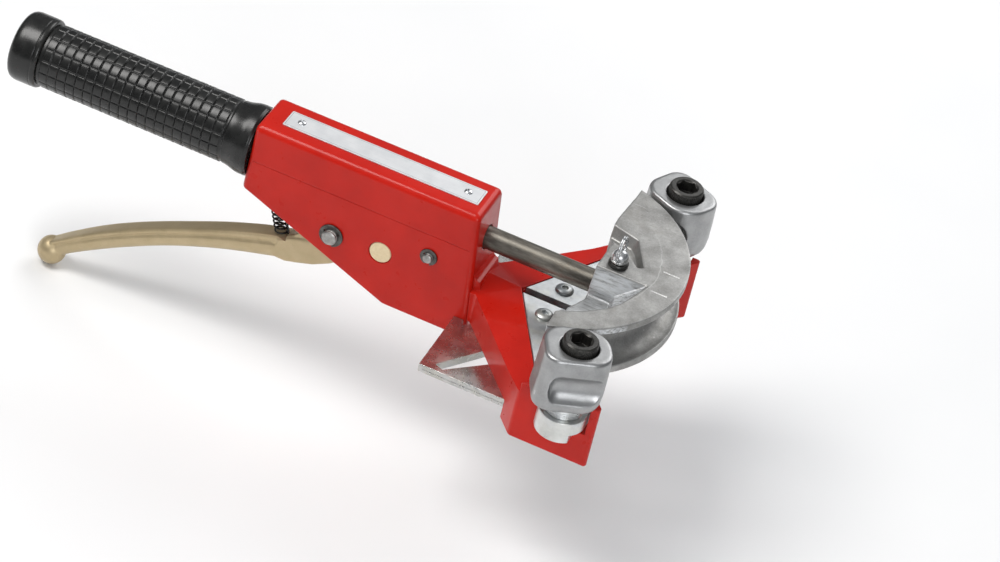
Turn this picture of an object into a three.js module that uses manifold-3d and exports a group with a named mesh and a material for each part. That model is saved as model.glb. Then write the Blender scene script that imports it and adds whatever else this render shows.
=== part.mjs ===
// Hand-operated ratchet tube bender: a lever-driven ram pushes a quadrant bending former
// between two swivelling counter-formers carried on a fork.
// Millimetres. +X is forward along the ram, +Y is left, +Z is up. Parts are laid out with the
// ram axis on X and x = 0 just behind the housing's front face; the finished group is then
// moved so that its origin lies on the underside of the housing's foot.
import * as THREE from "three";
import { mergeVertices } from "three/addons/utils/BufferGeometryUtils.js";
import { ConvexGeometry } from "three/addons/geometries/ConvexGeometry.js";
import Module from "manifold-3d";

const wasm = await Module();
wasm.setup();

// ---------------------------------------------------------------- driving dimensions
const HOUSE_TOP = 21, HOUSE_BOTTOM = -54, HOUSE_HALF = 16;
const HOUSE_REAR_X = -123, HOUSE_FRONT_X = 1.6;    // at the top
const HOUSE_TOE_X = 8.5;                           // front face at the bottom
const ORIGIN_SHIFT = [5, 0, -HOUSE_BOTTOM];
const GROOVE_R = 11 + 0.15;                        // tube radius and clearance
const RAM_R = 6, RAM_REAR = -110, RAM_FRONT = 85;
const RAM_BORE = RAM_R + 0.05;

// pins lying across the housing: radius, and place as [x, z]
const PIVOT = [-72, -25], PIVOT_R = 4;             // lever pivot
const BUTTON = [-45, -23.5], BUTTON_R = 6;         // release button
const HOLD = [-19.5, -13.5], HOLD_R = 2.5;         // holding pawl pin
const DRIVE = [-72, -14.5], DRIVE_R = 1.5;         // drive pawl pin

const BOLT_X = 80.3, BOLT_Y = 74.1, BOLT_R = 6;    // swivel bolts
const PLATE_BOTTOM = -34.5, PLATE_TOP = -22;       // cross plate
const BASE_BOTTOM = -47, BASE_TOP = -42.3;         // base plate
const FORK_TOP = -19.5;
const FORMER_HALF = 15.3;                          // half the bending former's thickness
const LOCK_PIN = [72, 0], GUIDE_PIN = [86.5, 0];   // upright pins in the former, [x, y]
const SIDES = [["left", 1], ["right", -1]];        // tag and sign of y

// ---------------------------------------------------------------- solids
// Manifold solid from a three geometry, turned right side out if need be
function solid(geometry) {
  const bare = geometry.clone();
  bare.deleteAttribute("normal");
  bare.deleteAttribute("uv");
  const merged = mergeVertices(bare, 1e-4);
  const vertProperties = merged.attributes.position.array;
  const triVerts = new Uint32Array(merged.index.array);
  const make = () => new wasm.Manifold(new wasm.Mesh({ numProp: 3, vertProperties, triVerts }));
  const made = make();
  if (made.volume() >= 0) return made;
  for (let i = 0; i < triVerts.length; i += 3) {
    [triVerts[i + 1], triVerts[i + 2]] = [triVerts[i + 2], triVerts[i + 1]];
  }
  return make();
}

// flat-shaded three geometry from a solid
function geometryOf(shape) {
  const mesh = shape.getMesh();
  const indexed = new THREE.BufferGeometry();
  const position = new THREE.BufferAttribute(new Float32Array(mesh.vertProperties), 3);
  indexed.setAttribute("position", position);
  indexed.setIndex(new THREE.BufferAttribute(new Uint32Array(mesh.triVerts), 1));
  const flat = indexed.toNonIndexed();
  flat.computeVertexNormals();
  return flat;
}

const join = (...shapes) => shapes.reduce((whole, shape) => whole.add(shape));
const common = (...shapes) => shapes.reduce((whole, shape) => whole.intersect(shape));
const cut = (body, ...tools) => tools.reduce((whole, tool) => whole.subtract(tool), body);

const shapeOf = (points) => new THREE.Shape(points.map(([x, y]) => new THREE.Vector2(x, y)));
const extrude = (points, depth) =>
  new THREE.ExtrudeGeometry(shapeOf(points), { depth, bevelEnabled: false, curveSegments: 8 });

// outlines given as [x, y], [x, z] and [y, z], extruded along the remaining axis
const slabZ = (points, z0, z1) => solid(extrude(points, z1 - z0).translate(0, 0, z0));
const slabY = (points, y0, y1) =>
  solid(extrude(points, y1 - y0).rotateX(Math.PI / 2).translate(0, y1, 0));
const YZ_TO_X = new THREE.Matrix4().makeBasis(
  new THREE.Vector3(0, 1, 0), new THREE.Vector3(0, 0, 1), new THREE.Vector3(1, 0, 0));
const slabX = (points, x0, x1) =>
  solid(extrude(points, x1 - x0).applyMatrix4(YZ_TO_X).translate(x0, 0, 0));
const block = (x0, x1, y0, y1, z0, z1) =>
  solid(new THREE.BoxGeometry(x1 - x0, y1 - y0, z1 - z0)
    .translate((x0 + x1) / 2, (y0 + y1) / 2, (z0 + z1) / 2));

// lays a geometry built round Y along the axis; place is its position on the other two axes
function along(axis, geometry, [first, second]) {
  if (axis === "x") geometry.rotateZ(-Math.PI / 2).translate(0, first, second);
  if (axis === "y") geometry.translate(first, 0, second);
  if (axis === "z") geometry.rotateX(Math.PI / 2).translate(first, second, 0);
  return solid(geometry);
}

function bar(axis, radius, from, to, place = [0, 0], segments = 24) {
  const rod = new THREE.CylinderGeometry(radius, radius, to - from, segments);
  return along(axis, rod.translate(0, (from + to) / 2, 0), place);
}

// solid of revolution; profile is [along, radius] pairs, closed here
function turned(axis, profile, place = [0, 0], segments = 24) {
  const points = [...profile, profile[0]].map(([h, radius]) => new THREE.Vector2(radius, h));
  return along(axis, new THREE.LatheGeometry(points, segments), place);
}

// round bar with both ends chamfered at 45 degrees
const chamferedBar = (axis, radius, from, to, chamfer, place) =>
  turned(axis, [
    [from, 0], [from, radius - chamfer], [from + chamfer, radius],
    [to - chamfer, radius], [to, radius - chamfer], [to, 0],
  ], place);

const hull = (points) =>
  solid(new ConvexGeometry(points.map(([x, y, z]) => new THREE.Vector3(x, y, z))));
const atHeight = (points, z) => points.map(([x, y]) => [x, y, z]);
const hullBetween = (low, z0, high, z1) => hull([...atHeight(low, z0), ...atHeight(high, z1)]);

// closed loft through rings of points, each end fanned from its middle
function loft(rings) {
  const count = rings[0].length;
  const middle = (ring) => [0, 1, 2].map((k) => ring.reduce((sum, at) => sum + at[k] / count, 0));
  const lastRing = rings[rings.length - 1];
  const positions = [...rings.flat(), middle(rings[0]), middle(lastRing)].flat();
  const startCap = rings.length * count, endCap = startCap + 1;
  const lastStart = startCap - count;
  const triangles = [];
  for (let i = 0; i + 1 < rings.length; i++) {
    for (let j = 0; j < count; j++) {
      const near = i * count + j, nearNext = i * count + ((j + 1) % count);
      const far = near + count, farNext = nearNext + count;
      triangles.push(near, nearNext, farNext, near, farNext, far);
    }
  }
  for (let j = 0; j < count; j++) {
    const next = (j + 1) % count;
    triangles.push(startCap, next, j, endCap, lastStart + j, lastStart + next);
  }
  const geometry = new THREE.BufferGeometry();
  geometry.setAttribute("position", new THREE.Float32BufferAttribute(positions, 3));
  geometry.setIndex(triangles);
  return solid(geometry);
}

// ---------------------------------------------------------------- outlines
const radians = (degrees) => (degrees * Math.PI) / 180;
const rect = (x0, x1, y0, y1) => [[x0, y0], [x1, y0], [x1, y1], [x0, y1]];
const mirrorY = (points) => points.map(([x, y]) => [x, -y]).reverse();

function arc([cx, cy], radius, from, to, steps) {
  return Array.from({ length: steps + 1 }, (_, i) => {
    const angle = radians(from + ((to - from) * i) / steps);
    return [cx + radius * Math.cos(angle), cy + radius * Math.sin(angle)];
  });
}

// polygon with its corners rounded; radii is one radius or one per corner
function rounded(points, radii, steps = 4) {
  return points.flatMap(([x, y], i) => {
    const radius = Array.isArray(radii) ? radii[i] : radii;
    if (!radius) return [[x, y]];
    const before = points[(i + points.length - 1) % points.length];
    const after = points[(i + 1) % points.length];
    const back = new THREE.Vector2(before[0] - x, before[1] - y).normalize();
    const ahead = new THREE.Vector2(after[0] - x, after[1] - y).normalize();
    const half = Math.acos(back.dot(ahead)) / 2;
    const reach = radius / Math.tan(half);
    const centre = back.clone().add(ahead).normalize().multiplyScalar(radius / Math.sin(half));
    const angleTo = (edge) => Math.atan2(edge.y * reach - centre.y, edge.x * reach - centre.x);
    const start = angleTo(back);
    let sweep = angleTo(ahead) - start;
    if (sweep > Math.PI) sweep -= 2 * Math.PI;
    if (sweep < -Math.PI) sweep += 2 * Math.PI;
    return Array.from({ length: steps + 1 }, (_, k) => {
      const angle = start + (sweep * k) / steps;
      return [x + centre.x + radius * Math.cos(angle), y + centre.y + radius * Math.sin(angle)];
    });
  });
}

// ---------------------------------------------------------------- wire
function bentWire(extrudePath, radius, sides, steps) {
  const section = shapeOf(arc([0, 0], radius, 0, 360 - 360 / sides, sides - 1));
  return solid(new THREE.ExtrudeGeometry(section, { steps, extrudePath, bevelEnabled: false }));
}

// spring along y or z; lean is its drift in x per millimetre of height
function coil({ axis, radius, wire, from, to, turns, place, lean = 0 }) {
  class Helix extends THREE.Curve {
    getPoint(t, target = new THREE.Vector3()) {
      const angle = t * turns * 2 * Math.PI;
      const h = from + (to - from) * t;
      const first = place[0] + radius * Math.cos(angle) + lean * (h - from);
      const second = place[1] + radius * Math.sin(angle);
      return axis === "z" ? target.set(first, second, h) : target.set(first, h, second);
    }
  }
  return bentWire(new Helix(), wire, 4, turns * 10);
}

// ---------------------------------------------------------------- pieces and finishes
const group = new THREE.Group();
const FINISH = {
  red: { color: 0xb4251a, roughness: 0.3, metalness: 0.0 },
  aluminium: { color: 0x9a9890, roughness: 0.45, metalness: 0.9 },
  zinc: { color: 0xc9d2d4, roughness: 0.3, metalness: 0.9 },
  plate: { color: 0xc4c6c2, roughness: 0.2, metalness: 0.95 },
  steel: { color: 0x6a6860, roughness: 0.35, metalness: 0.9 },
  black_oxide: { color: 0x1c1c1c, roughness: 0.4, metalness: 0.6 },
  gold: { color: 0xa08a60, roughness: 0.35, metalness: 0.7 },
  cream: { color: 0xe1cda5, roughness: 0.5, metalness: 0.0 },
  rubber: { color: 0x161616, roughness: 0.45, metalness: 0.0 },
  label: { color: 0xe8e8ea, roughness: 0.35, metalness: 0.3 },
  chrome: { color: 0xd8dadd, roughness: 0.12, metalness: 1.0 },
  brass: { color: 0xa8823c, roughness: 0.35, metalness: 0.9 },
};

function piece(name, shape, finish) {
  const mesh = new THREE.Mesh(geometryOf(shape), new THREE.MeshStandardMaterial(FINISH[finish]));
  mesh.name = name;
  group.add(mesh);
  return mesh;
}

// ---------------------------------------------------------------- housing and nameplate
const CAVITY_HALF = 11.5, CAVITY_TOP = 13;
const REAR_LEAN = 0.0328;                          // rearward run per millimetre down
const NAMEPLATE_SCREWS = [["rear", -104.5], ["front", -11.6]];
const nameplateHoles = (radius) =>
  NAMEPLATE_SCREWS.map(([, x]) => bar("z", radius, 14, 24, [x, 0], 12));

const frontFace = (z) =>
  HOUSE_FRONT_X + ((HOUSE_TOP - z) * (HOUSE_TOE_X - HOUSE_FRONT_X)) / (HOUSE_TOP - HOUSE_BOTTOM);
const rearFace = (z) => HOUSE_REAR_X - (HOUSE_TOP - z) * REAR_LEAN;

function housing() {
  const profile = rounded([
    [HOUSE_REAR_X, HOUSE_TOP], [-124.3, -18.6], [-119.5, -20.4],
    [-38, HOUSE_BOTTOM], [HOUSE_TOE_X, HOUSE_BOTTOM], [HOUSE_FRONT_X, HOUSE_TOP],
  ], [2.5, 1.5, 0, 3, 1, 2.5], 3);
  const section = rounded([
    [-HOUSE_HALF, HOUSE_TOP], [-HOUSE_HALF, -60], [HOUSE_HALF, -60], [HOUSE_HALF, HOUSE_TOP],
  ], [4, 0, 0, 4]);
  // the end walls lean, so the upright edges are rounded along the lean
  const plan = (z) =>
    rounded(rect(rearFace(z), frontFace(z), -HOUSE_HALF, HOUSE_HALF), [3, 3.5, 3.5, 3]);
  return cut(
    common(
      slabY(profile, -HOUSE_HALF, HOUSE_HALF),
      slabX(section, -130, 12),
      hullBetween(plan(HOUSE_BOTTOM), HOUSE_BOTTOM, plan(HOUSE_TOP), HOUSE_TOP)),
    // mechanism chamber, open below, and the lever slot behind it
    block(-96, -10.3, -CAVITY_HALF, CAVITY_HALF, -70, CAVITY_TOP),
    block(-115.5, -90, -CAVITY_HALF, CAVITY_HALF, -70, -27),
    bar("x", 9, -12, 6),                           // front bush seat
    bar("x", RAM_BORE, -105, -95),                 // rear ram guide
    bar("x", GRIP_TUBE_R + 0.05, -130, -104),      // grip tube seat
    bar("y", PIVOT_R + 0.04, -20, 20, PIVOT),
    bar("y", BUTTON_R + 0.06, -20, 20, BUTTON),
    // shallow recess round each end of the button's bore
    bar("y", BUTTON_R + 0.35, -20, -15.2, BUTTON),
    bar("y", BUTTON_R + 0.35, 15.2, 20, BUTTON),
    bar("y", HOLD_R + 0.04, -20, 20, HOLD),
    ...nameplateHoles(1.05),
    // parting line along each side
    block(-121, 0, -17, -15.7, -0.75, -0.35),
    block(-121, 0, 15.7, 17, -0.75, -0.35));
}

const nameplate = () =>
  cut(slabZ(rounded(rect(-112.5, -3.6, -6.7, 6.7), 0.6, 2), HOUSE_TOP, HOUSE_TOP + 0.6),
    ...nameplateHoles(1.1));

const nameplateScrew = (x) =>
  turned("z", [
    [16, 0], [16, 1], [21.6, 1], [21.6, 2.2], [22.1, 2.0], [22.6, 1.1], [22.75, 0],
  ], [x, 0], 16);

// grip tube radius, also used by the housing's seat
const GRIP_TUBE_R = 11;

piece("housing", housing(), "red");
piece("front_bush", cut(bar("x", 8.95, -10.2, 2.6), bar("x", RAM_BORE, -12, 6)), "brass");
piece("nameplate", nameplate(), "label");
for (const [tag, x] of NAMEPLATE_SCREWS) {
  piece(`nameplate_screw_${tag}`, nameplateScrew(x), "chrome");
}

// ---------------------------------------------------------------- fork, cross plate, base plate
// name and [x, y]
const CROSS_SCREWS = [["left", [46.2, 12]], ["right", [45, -13]]];
const BASE_SCREWS = [
  ["center", [20, 0]],
  ["left_inner", [32, 26]], ["right_inner", [32, -26]],
  ["left_outer", [60, 54]], ["right_outer", [60, -54]],
];
const drill = (screws, radius, z0, z1, segments) =>
  screws.map(([, place]) => bar("z", radius, z0, z1, place, segments));

// waste above one arm, whose top falls from the fork's inner edge to its outer one
function armTopWaste(side) {
  const low = [
    [-1, -0.3, FORK_TOP], [28, -0.3, -21.5], [63.2, 65.6, -21.5],
    [0, 16, -24.5], [9, 16, -24.5], [56, 72.2, -24.5],
    [0, 22, -26], [4, 24, -26], [50, 78, -27.5],
  ];
  return hull([...low, ...atHeight(low, 0)].map(([x, y, z]) => [x, y * side, z]));
}

function forkFrame() {
  const outline = [
    [0, -16], [9, -16], [56, -72.2], [100, -72.2], [39.5, 0],
    [100, 72.2], [56, 72.2], [9, 16], [0, 16],
  ];
  // left half of the cross plate's recess
  const recess = [
    [27, 0], [54, 50], [62.5, 66], [67.4, 67.6], [67.4, 90], [94, 90], [130, 90],
  ];
  const gap = 0.002, floor = HOUSE_BOTTOM - 1;     // gap to the housing's front face
  const houseSpace = [
    [-10, 0], [-10, floor], [frontFace(floor) + gap, floor], [frontFace(0) + gap, 0],
  ];
  const frame = cut(
    slabZ(rounded(outline, [0, 2, 3, 2, 3, 2, 3, 2, 0], 3), HOUSE_BOTTOM, FORK_TOP),
    slabY(houseSpace, -HOUSE_HALF - 0.2, HOUSE_HALF + 0.2),
    armTopWaste(1), armTopWaste(-1),
    slabZ([...recess, ...mirrorY(recess.slice(1))], PLATE_BOTTOM, 0),
    block(-1, 120, -62.3, 62.3, -60, BASE_TOP),    // seat of the base plate
    ...drill(CROSS_SCREWS, 3.15, -60, 0, 16),
    ...drill(BASE_SCREWS, 2.55, -60, -37, 12));
  // a three-cornered post rises at the front tip of each arm
  const post = [[93.6, 64.8], [100, 72.2], [93.6, 72.2]];
  const posts = [post, mirrorY(post)].map((corner) => slabZ(corner, PLATE_BOTTOM - 0.5, -17));
  return join(frame, ...posts);
}

function crossPlate() {
  const half = [
    [28.45, 1.9], [54.4, 50.1], [62.8, 65.7], [67.8, 67.2],
    ...arc([BOLT_X, BOLT_Y], 12.5, 180, 0, 12),
    [92.8, 64], [62, 24], [62, 9], [92, 9],
  ];
  const slot = [[20, -2.5], ...arc([88, 0], 2.5, -90, 90, 6), [20, 2.5]];
  const endCuts = SIDES.map(([, side]) => bar("z", BOLT_R + 0.03, -40, 0, [BOLT_X, BOLT_Y * side]));
  return cut(
    slabZ([...half, [93.5, 7], [93.5, -7], ...mirrorY(half)], PLATE_BOTTOM, PLATE_TOP),
    slabZ(slot, -40, 0),
    ...drill(CROSS_SCREWS, 3.1, -40, 0, 16),
    ...endCuts,
    // step under the front of each rounded end
    block(88.5, 95, 60, 90, -35, -29.5),
    block(88.5, 95, -90, -60, -35, -29.5));
}

const crossPlateScrew = (place) =>
  cut(
    turned("z", [
      [-41, 0], [-41, 3], [PLATE_TOP, 3], [PLATE_TOP, 4.8], [-21.3, 4.7],
      [-20.6, 4.1], [-20.2, 2.6], [-20.1, 0],
    ], place, 16),
    bar("z", 1.9, -21.5, -18.5, place, 6));        // hexagon socket

function basePlate() {
  const sideWindow = [[7.6, -57.4], [12.4, -59.2], [31, -40.5], [31, -30], [26, -30]];
  const openings = [
    sideWindow, mirrorY(sideWindow),
    [[6, -22], [14, -12], [14, 12], [6, 22]],      // splayed opening at the rear
    [[75, -30], [50, -8], [50, 8], [75, 30]],      // splayed notch in the front edge
  ];
  return cut(
    slabZ(rounded(rect(0.5, 70, -62, 62), [0.8, 2, 2, 0.8], 2), BASE_BOTTOM, BASE_TOP),
    ...openings.map((opening) => slabZ(opening, -60, -40)),
    block(-1, 8.6, -16.3, 16.3, -60, -40),         // room for the housing's foot
    ...drill(BASE_SCREWS, 2.6, -60, -40, 12),
    ...drill(BASE_SCREWS, 4.6, -48, -44, 12));
}

const baseScrew = (place) =>
  cut(
    turned("z", [
      [-38, 0], [-46.8, 0], [-46.8, 4.4], [-44, 4.4], [-44, 2.5], [-38, 2.5],
    ], place, 12),
    bar("z", 1.7, -47.5, -45.7, place, 6));        // hexagon socket

piece("fork_frame", forkFrame(), "red");
piece("cross_plate", crossPlate(), "zinc");
for (const [tag, place] of CROSS_SCREWS) {
  piece(`cross_plate_screw_${tag}`, crossPlateScrew(place), "zinc");
}
piece("base_plate", basePlate(), "plate");
for (const [tag, place] of BASE_SCREWS) piece(`base_screw_${tag}`, baseScrew(place), "zinc");

// ---------------------------------------------------------------- swivel bolts, counter-formers
// direction the groove faces, in degrees from +X turning towards the centre line
const GROOVE_FACING = 116.4;
const GROOVE_OFFSET = 18.5;                        // from the bolt to the tube's axis

const swivelBolt = (place) =>
  cut(
    turned("z", [
      [-34, 0], [-34, 5.4], [-33, BOLT_R], [10.2, BOLT_R], [10.2, 9],
      [21.2, 9], [22.1, 8.2], [22.1, 0],
    ], place),
    bar("z", 5.77, 15.6, 22.6, place, 6));         // hexagon socket

const spacer = (place) =>
  cut(bar("z", 10, PLATE_TOP, -15.4, place), bar("z", BOLT_R + 0.1, -30, 0, place));

// cast block with rounded ends, built round its bolt with the groove on its +X face
function counterFormer(side) {
  // z, outer x, inner x, front reach, rear reach, corner radius
  const levels = [
    [17.5, -12.2, 13.9, 15.4, 16.4, 8],
    [16.2, -13.4, 15, 16.4, 17.6, 8.5],
    [-5, -14.6, 15, 16.2, 18.6, 8.5],
    [-11, -14.3, 15, 15.6, 19, 8.5],
    [-14.3, -12.8, 14.6, 14.2, 17.8, 8],
    [-FORMER_HALF, -11.4, 13.6, 12.6, 16.2, 7.5],
  ];
  const skin = levels.flatMap(([z, outer, inner, front, rear, radius]) => {
    const [y0, y1] = side > 0 ? [-rear, front] : [-front, rear];
    const radii = [radius, radius + 2, radius + 5.5, radius + 1.5];
    if (side < 0) radii.reverse();
    return atHeight(rounded(rect(outer, inner, y0, y1), radii, 5), z);
  });
  // scoop in the outer face, rounded at the rear and running out at the front
  const scoop = [
    [-17.5, 0], [-17.5, 6.5], [-15.5, 9], [-11.5, 9.9],
    [8, 9.9], [11.5, 8.2], [13.2, 5.5], [13.2, 0],
  ];
  const scoopProfile = side > 0 ? scoop.map(([y, radius]) => [-y, radius]).reverse() : scoop;
  return cut(hull(skin),
    bar("y", GROOVE_R, -30, 30, [GROOVE_OFFSET, 0], 28),
    turned("y", scoopProfile, [-19.2, 0]),
    bar("z", BOLT_R + 0.1, -30, 30),
    bar("z", 9.75, 10, 30));                       // counterbore for the bolt head
}

for (const [tag, side] of SIDES) {
  const place = [BOLT_X, BOLT_Y * side];
  piece(`swivel_bolt_${tag}`, swivelBolt(place), "black_oxide");
  piece(`spacer_${tag}`, spacer(place), "zinc");
  const mesh = piece(`counter_former_${tag}`, counterFormer(side), "aluminium");
  mesh.rotation.z = -side * radians(GROOVE_FACING);
  mesh.position.set(...place, 0);
}

// ---------------------------------------------------------------- ram
const RACK_START = -94, RACK_TEETH = 29, RACK_PITCH = 4, RACK_DEPTH = 2;

function ramRod() {
  const below = -9, root = -6.3;                   // z of the cutter, clear of the rod
  const saw = [[RACK_START, below], [RACK_START, root]];
  for (let i = 1; i <= RACK_TEETH; i++) {
    const x = RACK_START + i * RACK_PITCH;
    saw.push([x, -RAM_R + RACK_DEPTH], [x, i < RACK_TEETH ? root : below]);
  }
  return cut(chamferedBar("x", RAM_R, RAM_REAR, RAM_FRONT, 0.8),
    slabY(saw.reverse(), -8, 8),
    bar("z", 3.1, -10, 10, LOCK_PIN, 20));
}

piece("ram_rod", ramRod(), "steel");
piece("ram_stop_collar",
  cut(bar("x", 7.2, -109, -104.6), bar("x", RAM_R + 0.1, -120, -100)), "steel");

// ---------------------------------------------------------------- bending former
const FORMER_X = 37.6, FORMER_R = 69.4;            // centre and radius of the rim
const BEND_R = 67;                                 // radius of the bent tube's axis
const HORN_X = 59.5;                               // rear tips of the quadrant
const POCKET_TOP = FORMER_HALF + 0.01;

// casting pocket beside the hub: steep up to a ledge, then sloped to the face
function pocket(sideY, sideZ, floor) {
  const ledge = 4.4;
  const mirrored = (points) => points.map(([x, y]) => [x, y * sideY]);
  const bottom = mirrored([[40, 11.2], [75.5, 11.2], [77.5, 23.5], [70.5, 33.8], [40, 34]]);
  const shelf = mirrored([[40, 11.2], [76.8, 11.2], [79, 25], [71.5, 36], [40, 36.2]]);
  const mouth = mirrored([
    [40, 6.5], [91, 6.5], [90, 10], [85, 27], [80, 36], [70, 45.8], [59, 53], [40, 57],
  ]);
  return join(
    hullBetween(bottom, sideZ * floor, shelf, sideZ * ledge),
    hullBetween(shelf, sideZ * ledge, mouth, sideZ * POCKET_TOP));
}

// the left upper pocket is small and stays beside the locking pin
function smallPocket() {
  const floor = 9.5;
  return join(
    hullBetween(
      [[61, 19.5], [72.5, 15.3], [76, 17.8], [71.5, 23], [56, 27]], floor,
      [[61, 17], [71.8, 13], [77, 18.8], [73.5, 25.5], [56, 30.5], [56, 19]], POCKET_TOP),
    hullBetween(
      [[72.5, 15.3], [80.2, 7.5], [81, 8.6], [76, 17.8]], floor,
      [[71.8, 13], [81, 3.8], [84, 5.6], [77, 18.8]], POCKET_TOP));
}

function bendingFormer() {
  const tipAngle = (Math.acos((HORN_X - FORMER_X) / FORMER_R) * 180) / Math.PI;
  const rear = [
    [HORN_X, 60], [59, 53], [58, 36], [58.6, 27], [61, 21.5], [63.4, 15], [63, 11.2],
  ];
  const outline = [
    ...arc([FORMER_X, 0], FORMER_R, -tipAngle, tipAngle, 24), ...rear, ...mirrorY(rear),
  ];
  const groove = arc([BEND_R, 0], GROOVE_R, 0, 345, 23).map(([radius, z]) => [z, radius]);
  return cut(
    slabZ(outline, -FORMER_HALF, FORMER_HALF),
    turned("z", groove, [FORMER_X, 0], 60),
    smallPocket(), pocket(-1, 1, -0.5), pocket(1, -1, 3.2), pocket(-1, -1, 3.2),
    bar("x", RAM_R + 0.08, 50, RAM_FRONT + 0.2),
    bar("z", 3.1, -13, 20, LOCK_PIN, 20),
    bar("z", 2.35, -20, -9, GUIDE_PIN, 16),
    // two shallow slots in the top face, near the rim
    ...[9.1, -9.1].map((y) => block(93.6, 101.9, y - 0.3, y + 0.3, 14.9, 16)));
}

piece("bending_former", bendingFormer(), "aluminium");
piece("former_guide_pin",
  turned("z", [[-31, 0], [-31, 1.8], [-30.4, 2.3], [-9.3, 2.3], [-9.3, 0]], GUIDE_PIN, 16),
  "steel");

// ---------------------------------------------------------------- locking pin
const RING_Z = 21.2;                               // hole for the ring

const lockingPin = () =>
  cut(
    turned("z", [
      [-11.5, 0], [-11.5, 2.2], [-10.6, 3], [18.1, 3], [18.1, 4.3],
      [20.9, 4.3], [22.7, 3.7], [24.1, 2.3], [24.6, 0],
    ], LOCK_PIN),
    bar("y", 0.85, -6, 6, [LOCK_PIN[0], RING_Z], 12));

function lockingPinRing() {
  // y, z along the wire
  const loop = [
    [5.6, RING_Z], [4, RING_Z], [0, RING_Z], [-4, RING_Z], [-5.6, RING_Z], [-6.2, 24.3],
    [-5.2, 28.8], [-2.4, 31.8], [0, 32.6], [2.4, 31.8], [5.2, 28.8], [6.2, 25.4],
  ].map(([y, z]) => new THREE.Vector3(LOCK_PIN[0], y, z));
  return bentWire(new THREE.CatmullRomCurve3(loop), 0.7, 5, 24);
}

piece("locking_pin_collar",
  turned("z", [[15.4, 3.15], [15.4, 5.2], [17.2, 5.2], [17.8, 4.7], [17.8, 3.15]], LOCK_PIN),
  "black_oxide");
piece("locking_pin", lockingPin(), "chrome");
piece("locking_pin_ring", lockingPinRing(), "chrome");

// ---------------------------------------------------------------- grip
const GRIP_R = 16.85, CAP_R = 18.8;
const GRIP_BORE = GRIP_TUBE_R + 0.1;
const CAP_REAR = -261.4, CAP_FRONT = -245;
const COLLAR_REAR = -138, GRIP_FRONT = -124.35;    // flared front end of the sleeve

const gripSleeve = () =>
  turned("x", [
    [CAP_FRONT + 0.2, GRIP_BORE], [CAP_FRONT + 0.2, GRIP_R],
    [COLLAR_REAR, GRIP_R], [COLLAR_REAR + 1, GRIP_R + 0.9],
    [GRIP_FRONT - 5, CAP_R + 0.2], [GRIP_FRONT - 1, CAP_R + 0.2],
    [GRIP_FRONT, CAP_R - 0.6], [GRIP_FRONT, GRIP_BORE],
  ]);

const gripEndCap = () =>
  turned("x", [
    [CAP_REAR, 0], [CAP_REAR, 15.2], [CAP_REAR + 0.4, 16.6], [CAP_REAR + 1.4, 17.9],
    [CAP_REAR + 3.2, CAP_R - 0.2], [CAP_REAR + 5, CAP_R], [CAP_FRONT - 1.6, CAP_R - 0.3],
    [CAP_FRONT, CAP_R - 1], [CAP_FRONT, GRIP_BORE], [-258.8, GRIP_BORE], [-258.8, 0],
  ]);

piece("grip_tube", cut(bar("x", GRIP_TUBE_R, -258.5, -104.1), bar("x", 7.5, -262, -100)), "steel");
piece("grip_sleeve", gripSleeve(), "rubber");
piece("grip_end_cap", gripEndCap(), "rubber");

// ---------------------------------------------------------------- cross pins, clips, button
// a pair of clips, open below, against the housing's sides
function clips(stem, bore, outer, place, reach) {
  const [x, z] = place;
  for (const [tag, y0, y1] of [["right", -reach, -16.1], ["left", 16.1, reach]]) {
    const clip = cut(bar("y", outer, y0, y1, place),
      bar("y", bore, -30, 30, place),
      block(x - 1.3, x + 1.3, -30, 30, z - 10, z));
    piece(`${stem}_${tag}`, clip, "black_oxide");
  }
}

const releaseButton = () =>
  turned("y", [
    [-16, 0], [-16, 5.6], [-15.6, BUTTON_R], [-5, BUTTON_R], [-2, 3.6],
    [3, 3.6], [6, BUTTON_R], [20.4, BUTTON_R], [21, 5.4], [21, 0],
  ], BUTTON);

piece("lever_pivot_pin", chamferedBar("y", PIVOT_R, -20, 20, 0.6, PIVOT), "steel");
clips("pivot_clip", PIVOT_R + 0.1, 6.5, PIVOT, 17.2);
piece("holding_pawl_pin", chamferedBar("y", HOLD_R, -19, 19, 0.4, HOLD), "steel");
clips("pawl_clip", HOLD_R + 0.1, 4.7, HOLD, 17.1);
piece("release_button", releaseButton(), "cream");

// ---------------------------------------------------------------- lever
// slender arched arm, lofted along its length
function leverArm() {
  // x, z, half height, half width, slope in degrees
  const stations = [
    [-98, -54.2, 7.5, 5.6, 12], [-110, -57.9, 7.4, 6.2, 17], [-121, -61.6, 7, 6.2, 21],
    [-134, -66.4, 6.5, 6.1, 23], [-150, -73.2, 6, 5.8, 25], [-168, -81.6, 5.8, 5.6, 28],
    [-186, -91.3, 5.8, 5.6, 30], [-200, -99.8, 5.6, 5.4, 32], [-214, -109.3, 5.2, 5.1, 34],
    [-224, -116.8, 4.9, 4.8, 36],
  ];
  // section as fractions of half width and half height
  const section = [
    [-0.42, -1], [0.42, -1], [0.84, -0.7], [0.9, 0.4], [1, 0.55], [1, 0.84],
    [0.86, 1], [-0.86, 1], [-1, 0.84], [-1, 0.55], [-0.9, 0.4], [-0.84, -0.7],
  ];
  return loft(stations.map(([x, z, height, width, degrees]) => {
    const slope = radians(degrees);
    return section.map(([across, up]) => [
      x - Math.sin(slope) * up * height, across * width, z + Math.cos(slope) * up * height,
    ]);
  }));
}

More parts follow.
